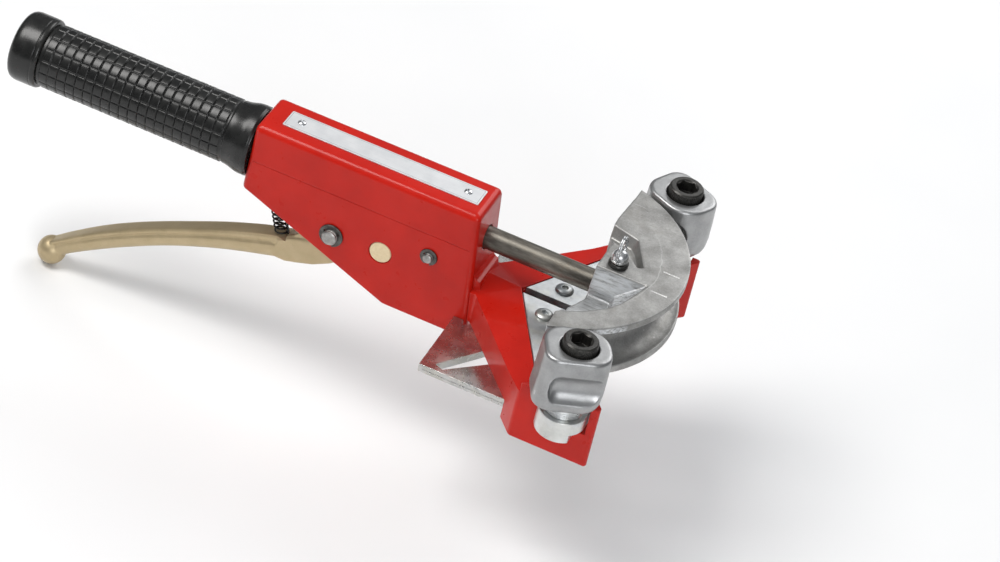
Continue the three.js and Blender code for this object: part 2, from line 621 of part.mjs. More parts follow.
function triggerLever() {
  const head = [
    [-58, -27], [-59.5, -36], [-65, -45.2], [-73, -52], [-82, -57], [-92, -60.6],
    [-101, -62.6], [-107, -63.6], [-107, -52], [-104, -49], [-95, -43.2], [-88.5, -36],
    [-86, -25], [-83, -16.5], [-77.5, -12], [-72, -11], [-66, -12.3], [-60, -17.8],
  ];
  const ball = new THREE.SphereGeometry(7.8, 16, 10).translate(-226.6, 0, -120.2);
  return cut(
    join(
      slabY(head, -5.2, 5.2),
      common(slabY(head, -7.5, 7.5), bar("y", 17, -10, 10, PIVOT)),
      leverArm(),
      solid(ball)),
    bar("y", PIVOT_R + 0.06, -20, 20, PIVOT),
    block(-90, -50, -5.6, 5.6, -19.6, 0),          // gap between the cheeks
    bar("y", DRIVE_R + 0.05, -20, 20, DRIVE, 16),
    block(-110, -98.5, -8, 8, -48.5, -40));        // flat under the return spring
}

piece("trigger_lever", triggerLever(), "gold");

// ---------------------------------------------------------------- pawls and springs
function drivePawl() {
  const outline = rounded([
    [-75, -14.5], [-74, -17.3], [-70.5, -17.6], [-60.5, -9.6],
    [-58.2, -6.5], [-60.6, -7.0], [-70, -11.8], [-73.5, -11.6],
  ], [1, 1, 1, 0.3, 0, 0.3, 0.5, 1], 2);
  return cut(slabY(outline, -2.2, 2.2), bar("y", DRIVE_R + 0.05, -5, 5, DRIVE, 20));
}

function holdingPawl() {
  const outline = rounded([
    [-15.2, -13.5], [-16.4, -18.2], [-22, -18.6], [-35.5, -10.2],
    [-38.4, -6.5], [-34.6, -7.2], [-24, -9.4], [-16.6, -9.3],
  ], [1.5, 1.5, 1.5, 0.3, 0, 0.3, 1, 1.5], 2);
  return cut(slabY(outline, -4, 4), bar("y", HOLD_R + 0.06, -6, 6, HOLD));
}

const SPRINGS = {
  drive: { axis: "y", radius: 2.35, wire: 0.38, from: 2.75, to: 5.1, turns: 3, place: DRIVE },
  hold: { axis: "y", radius: 3.5, wire: 0.45, from: 4.7, to: 10.2, turns: 5, place: HOLD },
  lever: {
    axis: "z", radius: 3.6, wire: 0.5, from: -47.9, to: -27.6, turns: 9,
    place: [-103.3, 0], lean: -0.345,
  },
};

piece("drive_pawl_pin", bar("y", DRIVE_R, -7.4, 7.4, DRIVE, 20), "steel");
piece("drive_pawl", drivePawl(), "steel");
piece("drive_pawl_spring", coil(SPRINGS.drive), "steel");
piece("holding_pawl", holdingPawl(), "steel");
piece("holding_pawl_spring", coil(SPRINGS.hold), "steel");
piece("lever_return_spring", coil(SPRINGS.lever), "steel");

group.position.set(...ORIGIN_SHIFT);

export default group;
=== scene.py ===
# Hand-operated ratchet tube bender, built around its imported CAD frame.
# Pieces are laid out in millimetres from the ram axis at the housing's front face: +x is forward,
# towards the former, +y is left and +z is up. `piece` moves them into the row frame, in metres.
import math

import bmesh
import bpy
from mathutils import Matrix, Vector
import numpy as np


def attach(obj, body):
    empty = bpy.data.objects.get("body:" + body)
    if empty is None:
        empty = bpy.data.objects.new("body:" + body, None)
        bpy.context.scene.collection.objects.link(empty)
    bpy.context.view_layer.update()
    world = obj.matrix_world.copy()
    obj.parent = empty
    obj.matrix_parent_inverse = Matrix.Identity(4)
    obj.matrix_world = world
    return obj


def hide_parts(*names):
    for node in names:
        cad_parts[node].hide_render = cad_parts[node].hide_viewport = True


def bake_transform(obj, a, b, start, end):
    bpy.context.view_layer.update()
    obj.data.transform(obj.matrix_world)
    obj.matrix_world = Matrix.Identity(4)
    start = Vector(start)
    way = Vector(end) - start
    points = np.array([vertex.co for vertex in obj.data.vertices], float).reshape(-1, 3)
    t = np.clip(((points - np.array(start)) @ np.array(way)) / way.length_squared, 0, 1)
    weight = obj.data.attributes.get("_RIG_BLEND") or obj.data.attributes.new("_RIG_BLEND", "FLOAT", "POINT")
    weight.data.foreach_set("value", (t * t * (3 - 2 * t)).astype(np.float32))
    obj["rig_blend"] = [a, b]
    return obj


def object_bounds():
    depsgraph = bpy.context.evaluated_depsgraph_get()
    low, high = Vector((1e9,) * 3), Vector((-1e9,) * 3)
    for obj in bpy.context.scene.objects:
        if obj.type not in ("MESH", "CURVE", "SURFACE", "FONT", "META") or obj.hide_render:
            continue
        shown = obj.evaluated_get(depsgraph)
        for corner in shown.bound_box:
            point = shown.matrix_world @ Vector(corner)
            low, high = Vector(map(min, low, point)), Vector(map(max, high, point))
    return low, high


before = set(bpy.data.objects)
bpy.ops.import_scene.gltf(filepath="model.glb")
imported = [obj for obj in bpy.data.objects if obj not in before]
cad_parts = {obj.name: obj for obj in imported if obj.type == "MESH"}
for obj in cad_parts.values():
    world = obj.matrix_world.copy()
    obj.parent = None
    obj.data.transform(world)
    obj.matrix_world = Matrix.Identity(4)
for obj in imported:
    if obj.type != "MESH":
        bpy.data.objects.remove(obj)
scene = bpy.context.scene
CAD_LO, CAD_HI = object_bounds()
SHIFT = Vector((5.0, 0.0, 54.0))       # from the ram axis to the row frame's origin
MM = 0.001

TUBE_R, RAM_R, RAM_BORE = 11.0, 6.0, 6.05
GROOVE_R = TUBE_R + 0.15
# cross pins and button, as (x, z)
PIVOT, BUTTON, HOLD, DRIVE = (-72.0, -25.0), (-45.0, -23.5), (-19.5, -13.5), (-72.0, -14.5)
TOP, FOOT, HALF_W = 21, -54, 16                              # housing
PLATE_REAR, PLATE_FRONT, PLATE_HALF_W = -112.5, -3.6, 6.7    # nameplate
FORMER_C, FORMER_R, BEND_R, FORMER_H = 37.6, 69.4, 67.0, 15.3
MARK_Y = 9.1                                                 # index lines on the former
LOCK_X, PEG_X = 72, 86.5                                     # upright pins through the former
BOLT, COUNTER_ANGLE = (80.3, 74.1), 116.4                    # counter-former swivels
CROSS_SCREWS = {"left": (46.2, 12), "right": (45, -13)}
BASE_SCREWS = {"center": (20, 0), "left_inner": (32, 26), "right_inner": (32, -26),
               "left_outer": (60, 54), "right_outer": (60, -54)}


# ------------------------------------------------------------------ outlines
def rect(x0, x1, y0, y1):
    return [(x0, y0), (x1, y0), (x1, y1), (x0, y1)]


def arc(cx, cy, radius, start, end, steps):
    angles = [math.radians(start + (end - start) * i / steps) for i in range(steps + 1)]
    return [(cx + radius * math.cos(a), cy + radius * math.sin(a)) for a in angles]


def rounded(points, radii, steps=7):
    """Outline with its corners rounded, by one radius or by one for each corner."""
    out = []
    for i, point in enumerate(points):
        radius = radii[i] if isinstance(radii, list) else radii
        if not radius:
            out.append(point)
            continue
        corner = Vector(point)
        back = (Vector(points[i - 1]) - corner).normalized()
        ahead = (Vector(points[(i + 1) % len(points)]) - corner).normalized()
        half = math.acos(max(-1, min(1, back.dot(ahead)))) / 2
        reach = radius / math.tan(half)
        start, end = corner + back * reach, corner + ahead * reach
        centre = corner + (back + ahead).normalized() * (radius / math.sin(half))
        a0 = math.atan2(start.y - centre.y, start.x - centre.x)
        a1 = math.atan2(end.y - centre.y, end.x - centre.x)
        while a1 - a0 > math.pi:
            a1 -= 2 * math.pi
        while a1 - a0 < -math.pi:
            a1 += 2 * math.pi
        for k in range(steps + 1):
            a = a0 + (a1 - a0) * k / steps
            out.append((centre.x + radius * math.cos(a), centre.y + radius * math.sin(a)))
    return out


def mirror_y(points):
    return [(x, -y) for x, y in reversed(points)]


def catmull(points, steps=8):
    """Smooth curve through the points."""
    knots = [Vector(p) for p in points]
    out = []
    for i in range(len(knots) - 1):
        a, b = knots[max(i - 1, 0)], knots[i]
        c, d = knots[i + 1], knots[min(i + 2, len(knots) - 1)]
        for k in range(steps):
            t = k / steps
            out.append(0.5 * ((2 * b) + (c - a) * t + (2 * a - 5 * b + 4 * c - d) * t * t
                              + (3 * b - a - 3 * c + d) * t ** 3))
    out.append(knots[-1])
    return out


# ------------------------------------------------------------------ solids
def place(axis, across, along):
    """3D point from a place across an axis and a distance along it."""
    if axis == "z":
        return (across[0], across[1], along)
    if axis == "y":
        return (across[0], along, across[1])
    return (along, across[0], across[1])


def link_mesh(bm, mesh):
    bmesh.ops.recalc_face_normals(bm, faces=bm.faces)
    bm.to_mesh(mesh)
    bm.free()
    shape = bpy.data.objects.new("tmp", mesh)
    scene.collection.objects.link(shape)
    return shape


def solid(verts, faces):
    mesh = bpy.data.meshes.new("tmp")
    mesh.from_pydata([tuple(v) for v in verts], [], faces)
    mesh.validate()
    bm = bmesh.new()
    bm.from_mesh(mesh)
    bmesh.ops.remove_doubles(bm, verts=bm.verts, dist=1e-5)
    return link_mesh(bm, mesh)


def hull(points):
    bm = bmesh.new()
    for point in points:
        bm.verts.new(point)
    bmesh.ops.convex_hull(bm, input=bm.verts)
    inside = [v for v in bm.verts if not v.link_faces]
    bmesh.ops.delete(bm, geom=inside, context="VERTS")
    return link_mesh(bm, bpy.data.meshes.new("tmp"))


def layers(*levels):
    """Hull over flat outlines, each given as (points, z)."""
    return hull([(x, y, z) for points, z in levels for x, y in points])


def prism(points, axis, start, end):
    n = len(points)
    verts = [place(axis, p, start) for p in points] + [place(axis, p, end) for p in points]
    faces = [list(range(n))[::-1], list(range(n, 2 * n))]
    faces += [(i, (i + 1) % n, n + (i + 1) % n, n + i) for i in range(n)]
    return solid(verts, faces)


def block(x0, x1, y0, y1, z0, z1):
    return prism(rect(x0, x1, y0, y1), "z", z0, z1)


def lathe(profile, axis, centre=(0.0, 0.0), segments=96):
    """Solid of revolution; profile is (along, radius), closed on itself or by the axis."""
    verts, rings = [], []
    for along, radius in profile:
        if radius < 1e-6:
            rings.append([len(verts)] * segments)
            verts.append(place(axis, centre, along))
            continue
        rings.append(list(range(len(verts), len(verts) + segments)))
        for k in range(segments):
            a = 2 * math.pi * k / segments
            across = (radius * math.cos(a) + centre[0], radius * math.sin(a) + centre[1])
            verts.append(place(axis, across, along))
    faces = []
    closed = profile[0][1] > 1e-6 or profile[-1][1] > 1e-6
    for i in range(len(rings) if closed else len(rings) - 1):
        ring, after = rings[i], rings[(i + 1) % len(rings)]
        for k in range(segments):
            m = (k + 1) % segments
            face = [ring[k], ring[m], after[m], after[k]]
            face = [v for j, v in enumerate(face) if v != face[j - 1]]
            if len(set(face)) >= 3:
                faces.append(face)
    return solid(verts, faces)


def bar(axis, radius, start, end, centre=(0.0, 0.0), segments=64):
    return lathe([(start, 0), (start, radius), (end, radius), (end, 0)], axis, centre, segments)


def hex_bar(radius, low, high, centre, turn):
    angles = [math.radians(60 * k + turn) for k in range(6)]
    points = [(radius * math.cos(a) + centre[0], radius * math.sin(a) + centre[1])
              for a in angles]
    return prism(points, "z", low, high)


def loft(rings):
    """Skin over rings of points, with flat ends."""
    n, last = len(rings[0]), len(rings) - 1
    faces = []
    for i in range(last):
        for k in range(n):
            m = (k + 1) % n
            faces.append((i * n + k, i * n + m, (i + 1) * n + m, (i + 1) * n + k))
    return [p for ring in rings for p in ring], faces, [list(range(n))[::-1],
                                                        [last * n + k for k in range(n)]]


def sweep(path, radius, sides):
    """Round wire along a path of points, with its frame carried along."""
    path = [Vector(p) for p in path]
    last = len(path) - 1
    tangents = [(path[min(i + 1, last)] - path[max(i - 1, 0)]).normalized()
                for i in range(last + 1)]
    up = Vector((0, 0, 1)) if abs(tangents[0].z) < 0.9 else Vector((1, 0, 0))
    normal = (up - tangents[0] * up.dot(tangents[0])).normalized()
    rings = []
    for point, tangent in zip(path, tangents):
        normal = (normal - tangent * normal.dot(tangent)).normalized()
        side = tangent.cross(normal)
        angles = [2 * math.pi * k / sides for k in range(sides)]
        rings.append([point + normal * (radius * math.cos(a)) + side * (radius * math.sin(a))
                      for a in angles])
    verts, faces, ends = loft(rings)
    return solid(verts, faces + ends)


def coil(axis, radius, wire, start, end, turns, centre, steps=28, sides=10, closed_turns=0.6):
    """Spring whose pitch fades at both ends, so its end turns close."""
    path, count = [], int(turns * steps)
    for i in range(count + 1):
        t = i / count
        a = t * turns * 2 * math.pi
        rise = max(0.0, min(1.0, (t * turns - closed_turns) / (turns - 2 * closed_turns)))
        along = start + wire * min(1, t * turns) + (end - start - 2 * wire) * rise
        across = (centre[0] + radius * math.cos(a), centre[1] + radius * math.sin(a))
        path.append(place(axis, across, along))
    return sweep(path, wire, sides)


# ------------------------------------------------------------------ shape edits
def bake(shape):
    graph = bpy.context.evaluated_depsgraph_get()
    mesh = bpy.data.meshes.new_from_object(shape.evaluated_get(graph), depsgraph=graph)
    old = shape.data
    shape.modifiers.clear()
    shape.data = mesh
    bpy.data.meshes.remove(old)
    return shape


def boole(shape, *tools, op="DIFFERENCE"):
    for tool in tools:
        mod = shape.modifiers.new("b", "BOOLEAN")
        mod.operation, mod.solver, mod.object = op, "EXACT", tool
    bake(shape)
    for tool in tools:
        bpy.data.objects.remove(tool)
    return shape


def cast(shape, voxel, passes, factor):
    """Soft cast edges: the shape is remeshed finely, then relaxed."""
    mod = shape.modifiers.new("r", "REMESH")
    mod.mode, mod.voxel_size, mod.use_smooth_shade = "VOXEL", voxel, True
    mod = shape.modifiers.new("s", "SMOOTH")
    mod.factor, mod.iterations = factor, passes
    return bake(shape)


def add_bevel(shape, width, segments, limit):
    mod = shape.modifiers.new("v", "BEVEL")
    mod.width, mod.segments, mod.limit_method = width, segments, limit
    mod.use_clamp_overlap = True
    return mod


def bevel(shape, width, segments, share):
    """Rounds each edge by the share of the width that share(a, b) gives for its two ends."""
    mesh = shape.data
    weights = mesh.attributes.new("bevel_weight_edge", "FLOAT", "EDGE")
    for edge in mesh.edges:
        a, b = (mesh.vertices[k].co for k in edge.vertices)
        weights.data[edge.index].value = share(a, b)
    add_bevel(shape, width, segments, "WEIGHT")
    attributes = bake(shape).data.attributes
    if "bevel_weight_edge" in attributes:
        attributes.remove(attributes["bevel_weight_edge"])


def soften(shape, width, segments, angle=35):
    add_bevel(shape, width, segments, "ANGLE").angle_limit = math.radians(angle)
    bake(shape)


def near(a, b):
    return abs(a - b) < 1e-3


def piece(shape, name, node, finish, body="frame", sharp=32, weighted=True):
    """Moves a shape into the row frame and hands it over; finish is (material, slot), and its slot is not
    used.
    """
    mesh = shape.data
    mesh.transform(Matrix.Translation(SHIFT))
    mesh.transform(Matrix.Scale(MM, 4))
    mesh.materials.clear()
    mesh.materials.append(finish[0])
    mesh.shade_smooth()
    mesh.set_sharp_from_angle(angle=math.radians(sharp))
    if weighted:
        shape.modifiers.new("wn", "WEIGHTED_NORMAL").keep_sharp = True
    shape.name = name
    mesh.name = name
    if body:
        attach(shape, body)
    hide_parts(node)
    return shape


# ------------------------------------------------------------------ material kit
SOCKETS = {"metal": "Metallic", "rough": "Roughness", "spec": "Specular IOR Level",
           "coat": "Coat Weight", "coat_rough": "Coat Roughness", "coat_normal": "Coat Normal"}


class Material:
    """Principled material, textured in millimetres; base and normal build up step by step."""

    def __init__(self, name, edge_radius=None):
        self.material = bpy.data.materials.new(name)
        self.material.use_nodes = True
        self.tree = self.material.node_tree
        self.tree.nodes.clear()
        output = self.node("ShaderNodeOutputMaterial")
        self.shader = self.node("ShaderNodeBsdfPrincipled")
        self.plug(output, 0, self.shader.outputs[0])
        place_m = self.node("ShaderNodeTexCoord").outputs["Object"]
        self.place = self.node("ShaderNodeVectorMath", {0: place_m, "Scale": 1000.0},
                               operation="SCALE").outputs[0]
        self.normal = None
        if edge_radius:
            self.normal = self.node("ShaderNodeBevel", {"Radius": edge_radius * MM},
                                    samples=6).outputs[0]

    def plug(self, node, key, value):
        if isinstance(value, bpy.types.NodeSocket):
            self.tree.links.new(value, node.inputs[key])
        else:
            node.inputs[key].default_value = value

    def node(self, kind, inputs=None, **settings):
        node = self.tree.nodes.new(kind)
        for key, value in settings.items():
            setattr(node, key, value)
        for key, value in (inputs or {}).items():
            self.plug(node, key, value)
        return node

    def noise(self, scale, detail=4.0, rough=0.55, stretch=None, warp=0.0):
        at = self.place
        if stretch:
            at = self.node("ShaderNodeVectorMath", {0: at, 1: stretch},
                           operation="MULTIPLY").outputs[0]
        return self.node("ShaderNodeTexNoise", {
            "Vector": at, "Scale": scale, "Detail": detail, "Roughness": rough,
            "Distortion": warp}).outputs[0]

    def math(self, op, a, b=0.0):
        return self.node("ShaderNodeMath", {0: a, 1: b}, operation=op).outputs[0]

    def times(self, a, b):
        return self.math("MULTIPLY", a, b)

    def add(self, a, b):
        return self.math("ADD", a, b)

    def remap(self, value, span, to=(0.0, 1.0)):
        return self.node("ShaderNodeMapRange", {
            0: value, 1: span[0], 2: span[1], 3: to[0], 4: to[1]}).outputs[0]

    def mix(self, share, under, over):
        under, over = ((*c, 1.0) if isinstance(c, tuple) else c for c in (under, over))
        return self.node("ShaderNodeMix", {0: share, 6: under, 7: over},
                         data_type="RGBA").outputs[2]

    def two_tone(self, value, dark, light, span=(0.35, 0.65)):
        self.base = self.mix(self.remap(value, span), dark, light)

    def tint(self, colour, where, span=None, share=None):
        """Lays a colour over the base where a mask, or a value across a span, says so."""
        if span:
            where = self.remap(where, span)
        if share is not None:
            where = self.times(where, share)
        self.base = self.mix(where, self.base, colour)

    def edge_mask(self, span=(0.04, 0.30)):
        """1 on edges; read before the first bump, from the rounded normal."""
        flat = self.node("ShaderNodeNewGeometry").outputs["Normal"]
        match = self.node("ShaderNodeVectorMath", {0: self.normal, 1: flat},
                          operation="DOT_PRODUCT").outputs["Value"]
        return self.remap(self.math("SUBTRACT", 1.0, match), span)

    def pointiness(self):
        return self.node("ShaderNodeNewGeometry").outputs["Pointiness"]

    def axes(self):
        return self.node("ShaderNodeSeparateXYZ", {0: self.place}).outputs

    def bump(self, height, strength, depth):
        inputs = {"Height": height, "Strength": strength, "Distance": depth * MM}
        if self.normal is not None:
            inputs["Normal"] = self.normal
        self.normal = self.node("ShaderNodeBump", inputs).outputs[0]

    def finish(self, **values):
        self.plug(self.shader, "Base Color", self.base)
        self.plug(self.shader, "Normal", self.normal)
        for key, value in values.items():
            self.plug(self.shader, SOCKETS[key], value)
        return self.material


# ------------------------------------------------------------------ materials
MID = (0.3, 0.7)       # span of a noise that drives roughness


def red_enamel():
    mat = Material("red_enamel", edge_radius=0.55)
    mat.two_tone(mat.noise(scale=0.045, detail=3),
                 (0.455, 0.0095, 0.0040), (0.525, 0.0125, 0.0055))
    # lighter red along the edges: thinner paint there, and a painted highlight
    mat.tint((0.70, 0.05, 0.03), mat.edge_mask(), share=0.22)
    # a few pale hairline rubs
    rubs = mat.noise(scale=0.35, detail=6, rough=0.7, stretch=(0.16, 1.0, 1.6), warp=0.6)
    mat.tint((0.66, 0.12, 0.09), rubs, span=(0.745, 0.775), share=0.22)
    grain = mat.times(mat.noise(scale=0.9, detail=2, rough=0.5), 0.5)
    ripple = mat.times(mat.noise(scale=0.20, detail=2), 1.5)
    mat.bump(mat.add(grain, ripple), strength=0.14, depth=0.12)
    rough = mat.remap(mat.noise(scale=0.12, detail=5), MID, to=(0.26, 0.38))
    return mat.finish(rough=rough, spec=0.16, coat=0.22, coat_rough=0.06,
                      coat_normal=mat.normal)


def former_wear_and_light(mat):
    """Marks, rubbing and painted light placed on the bending former: a painted highlight ring, and painted
    reflections and shade in a pocket.
    """
    axes = mat.axes()
    x, y = mat.math("SUBTRACT", axes[0], SHIFT.x), axes[1]
    z = mat.math("SUBTRACT", axes[2], SHIFT.z)
    on_top = mat.remap(z, (14.6, 14.9))
    # the two index lines across the rim
    off = mat.math("ABSOLUTE", mat.math("SUBTRACT", mat.math("ABSOLUTE", y), MARK_Y))
    length = mat.times(mat.remap(x, (93.2, 93.8)), mat.remap(x, (101.7, 102.3), to=(1.0, 0.0)))
    line = mat.times(mat.remap(off, (0.34, 0.50), to=(1.0, 0.0)), length)
    # the lighter ring just inside them, about the former's centre: a painted highlight along the rim's inner
    # edge
    dx = mat.math("SUBTRACT", x, FORMER_C)
    radius = mat.math("SQRT", mat.add(mat.times(dx, dx), mat.times(y, y)))
    wobble = mat.remap(mat.noise(scale=0.2, detail=3), MID, to=(-0.5, 0.5))
    off = mat.math("ABSOLUTE", mat.math("SUBTRACT", mat.add(radius, wobble), 54.6))
    ring = mat.times(mat.remap(off, (0.10, 0.40), to=(1.0, 0.0)), mat.remap(x, (76, 90)))
    mat.tint((0.86, 0.86, 0.85), mat.times(line, on_top), share=0.85)
    # the ring: painted highlight
    mat.tint((0.62, 0.62, 0.61), mat.times(ring, on_top), share=0.32)
    # bright and dark streaks on the walls of the upper right pocket: painted reflections and painted shade,
    # drawn out along x
    inside = mat.times(
        mat.times(mat.remap(z, (14.7, 14.0)), mat.remap(z, (-1.5, 0.0))),
        mat.times(mat.remap(y, (-5.5, -6.5)), mat.remap(x, (94, 92))))
    streak = mat.noise(scale=0.85, detail=5, rough=0.65, stretch=(0.14, 1.0, 1.0), warp=0.3)
    mat.tint((0.66, 0.68, 0.70), inside, share=mat.remap(streak, (0.38, 0.60), to=(0.25, 0.85)))
    mat.tint((0.16, 0.165, 0.17), inside, share=mat.remap(streak, (0.46, 0.36), to=(0.0, 0.55)))
    # fine rubbing along the top of the left arm
    rub = mat.noise(scale=1.4, detail=5, rough=0.7, stretch=(0.10, 0.55, 1.0), warp=0.8)
    where = mat.times(mat.remap(y, (24, 40)), on_top)
    mat.tint((0.66, 0.66, 0.65), mat.times(mat.remap(rub, (0.60, 0.68)), where), share=0.40)


def cast_aluminium(name, dark, light, rough, edge_radius, stain, grainy, painted_shine, former=False):
    mat = Material(name, edge_radius)
    edge = mat.edge_mask()
    blotch = mat.noise(scale=0.085, detail=6, rough=0.62)
    grain = mat.noise(scale=1.1, detail=5, rough=0.65)
    speck = mat.noise(scale=4.0, detail=3, rough=0.6)
    tone = mat.add(mat.times(blotch, 0.70), mat.times(grain, 0.30))
    mat.two_tone(tone, dark, light, span=(0.36, 0.64))
    dirt = mat.noise(scale=0.045, detail=7, rough=0.7, warp=0.8)
    mat.tint((0.20, 0.185, 0.155), dirt, span=(0.56, 0.70), share=stain)
    # scratches along y and along x
    along_y = mat.noise(scale=0.55, detail=7, rough=0.72, stretch=(1.0, 0.10, 1.0), warp=1.2)
    along_x = mat.noise(scale=0.50, detail=7, rough=0.72, stretch=(0.12, 1.0, 1.0), warp=1.4)
    scratch = mat.math("MAXIMUM", mat.remap(along_y, (0.690, 0.735)),
                       mat.remap(along_x, (0.700, 0.745)))
    mat.tint((0.62, 0.62, 0.61), scratch, share=0.45)
    # lighter along the edges, and in patches on the ridges: painted highlight
    mat.tint((0.70, 0.70, 0.69), edge, share=painted_shine)
    point = mat.pointiness()
    patchy = mat.remap(mat.noise(scale=0.5, detail=5, rough=0.6), (0.30, 0.55), to=(0.45, 1.0))
    painted_edge_highlight = mat.times(mat.remap(point, (0.515, 0.565)), patchy)
    mat.tint((0.74, 0.74, 0.735), painted_edge_highlight, share=painted_shine)
    # darker in hollows and creases: painted shade
    mat.tint((0.13, 0.125, 0.115), point, span=(0.485, 0.440), share=0.45)
    roughness = mat.add(mat.remap(tone, (0.35, 0.65), to=rough), mat.times(edge, -0.12))
    height = mat.add(mat.times(grain, 0.8), mat.times(speck, 0.45))
    height = mat.math("SUBTRACT", height, mat.times(scratch, 0.25))
    if former:
        former_wear_and_light(mat)
    mat.bump(height, strength=grainy, depth=0.10)
    mat.bump(mat.noise(scale=0.16, detail=2), strength=0.30, depth=0.35)
    return mat.finish(metal=0.88, rough=roughness, spec=0.4)


def zinc(name, dark, light, rough, edge_radius=0.35):
    mat = Material(name, edge_radius)
    edge = mat.edge_mask()
    cloud = mat.noise(scale=0.11, detail=6, rough=0.6)
    mat.two_tone(cloud, dark, light)
    straw = mat.noise(scale=0.05, detail=3, rough=0.5, warp=1.5)
    mat.tint((0.70, 0.66, 0.52), straw, span=(0.45, 0.62), share=0.22)
    dull = mat.remap(mat.noise(scale=0.6, detail=6, rough=0.7), (0.60, 0.72))
    mat.tint((0.45, 0.46, 0.47), dull, share=0.35)
    mat.tint((0.92, 0.93, 0.93), edge, share=0.4)
    roughness = mat.add(mat.remap(cloud, MID, to=rough), mat.times(dull, 0.18))
    grain = mat.noise(scale=1.6, detail=4, rough=0.6)
    ripple = mat.times(mat.noise(scale=0.35, detail=3), 0.7)
    mat.bump(mat.add(grain, ripple), strength=0.20, depth=0.06)
    return mat.finish(metal=0.95, rough=roughness)


def drawn_steel(name, dark, light, axis="x"):
    """Steel drawn and turned about the given axis."""
    mat = Material(name, edge_radius=0.3)
    edge = mat.edge_mask()
    lengthwise = tuple(0.18 if a == axis else 1.0 for a in "xyz")
    around = tuple(1.0 if a == axis else 0.05 for a in "xyz")
    tone = mat.noise(scale=0.28, detail=7, rough=0.68, stretch=lengthwise)
    mat.two_tone(tone, dark, light, span=(0.36, 0.64))
    rust = mat.noise(scale=0.16, detail=7, rough=0.72, warp=0.6)
    mat.tint((0.17, 0.12, 0.075), rust, span=(0.56, 0.68), share=0.35)
    bright = mat.noise(scale=0.75, detail=7, rough=0.75, stretch=lengthwise)
    mat.tint((0.52, 0.50, 0.46), bright, span=(0.62, 0.70), share=0.35)
    mat.tint((0.60, 0.58, 0.54), edge, share=0.45)
    lines = mat.noise(scale=1.6, detail=5, rough=0.7, stretch=lengthwise)
    turning = mat.noise(scale=3.2, detail=3, rough=0.6, stretch=around)
    mat.bump(mat.add(mat.times(lines, 0.5), mat.times(turning, 0.5)), strength=0.30, depth=0.06)
    return mat.finish(metal=0.90, rough=mat.remap(tone, MID, to=(0.30, 0.48)))


def gold_lever():
    mat = Material("gold_lever", edge_radius=0.5)
    edge = mat.edge_mask()
    tone = mat.noise(scale=0.10, detail=6, rough=0.6)
    mat.two_tone(tone, (0.450, 0.355, 0.205), (0.540, 0.435, 0.265), span=MID)
    grime = mat.noise(scale=0.30, detail=8, rough=0.72, stretch=(0.5, 1, 1), warp=0.7)
    mat.tint((0.24, 0.175, 0.095), grime, span=(0.57, 0.70), share=0.22)
    mat.tint((0.74, 0.64, 0.44), edge, share=0.5)
    scratch = mat.noise(scale=0.6, detail=7, rough=0.72, stretch=(1.0, 0.2, 0.2), warp=0.8)
    mat.tint((0.72, 0.62, 0.42), scratch, span=(0.66, 0.71), share=0.30)
    grain = mat.noise(scale=1.3, detail=5, rough=0.65)
    ripple = mat.times(mat.noise(scale=0.32, detail=3), 1.0)
    mat.bump(mat.add(grain, ripple), strength=0.36, depth=0.12)
    return mat.finish(metal=0.60, rough=mat.remap(tone, MID, to=(0.36, 0.50)),
                      coat=0.12, coat_rough=0.3)


def black_oxide():
    mat = Material("black_oxide", edge_radius=0.45)
    tone = mat.noise(scale=0.5, detail=6, rough=0.65)
    mat.two_tone(tone, (0.020, 0.0195, 0.0180), (0.050, 0.048, 0.043))
    patchy = mat.remap(mat.noise(scale=0.8, detail=5), (0.35, 0.6))
    painted_edge_highlight = mat.times(mat.edge_mask(span=(0.03, 0.22)), patchy)
    mat.tint((0.30, 0.29, 0.27), painted_edge_highlight, share=0.55)
    mat.bump(mat.noise(scale=2.4, detail=4, rough=0.6), strength=0.25, depth=0.05)
    return mat.finish(metal=0.65, rough=mat.remap(tone, MID, to=(0.30, 0.46)),
                      coat=0.25, coat_rough=0.22)


def rubber(name, rough, grainy):
    mat = Material(name, edge_radius=0.35)
    tone = mat.noise(scale=0.16, detail=6, rough=0.6)
    mat.two_tone(tone, (0.0060, 0.0062, 0.0060), (0.0120, 0.0122, 0.0115))
    scuffs = mat.noise(scale=0.45, detail=8, rough=0.75, stretch=(0.5, 1, 1), warp=0.9)
    scuff = mat.remap(scuffs, (0.60, 0.72))
    mat.tint((0.040, 0.039, 0.036), scuff, share=0.22)
    point = mat.pointiness()
    # darker in the grooves between the pads: painted shade
    mat.tint((0.0020, 0.0020, 0.0020), point, span=(0.500, 0.440))
    # lighter on the pads' edges: painted highlight
    mat.tint((0.040, 0.039, 0.036), point, span=(0.515, 0.560), share=0.2)
    roughness = mat.add(mat.remap(tone, MID, to=rough), mat.times(scuff, 0.12))
    mat.bump(mat.noise(scale=3.0, detail=4, rough=0.6), strength=grainy, depth=0.05)
    return mat.finish(rough=roughness, spec=0.45)


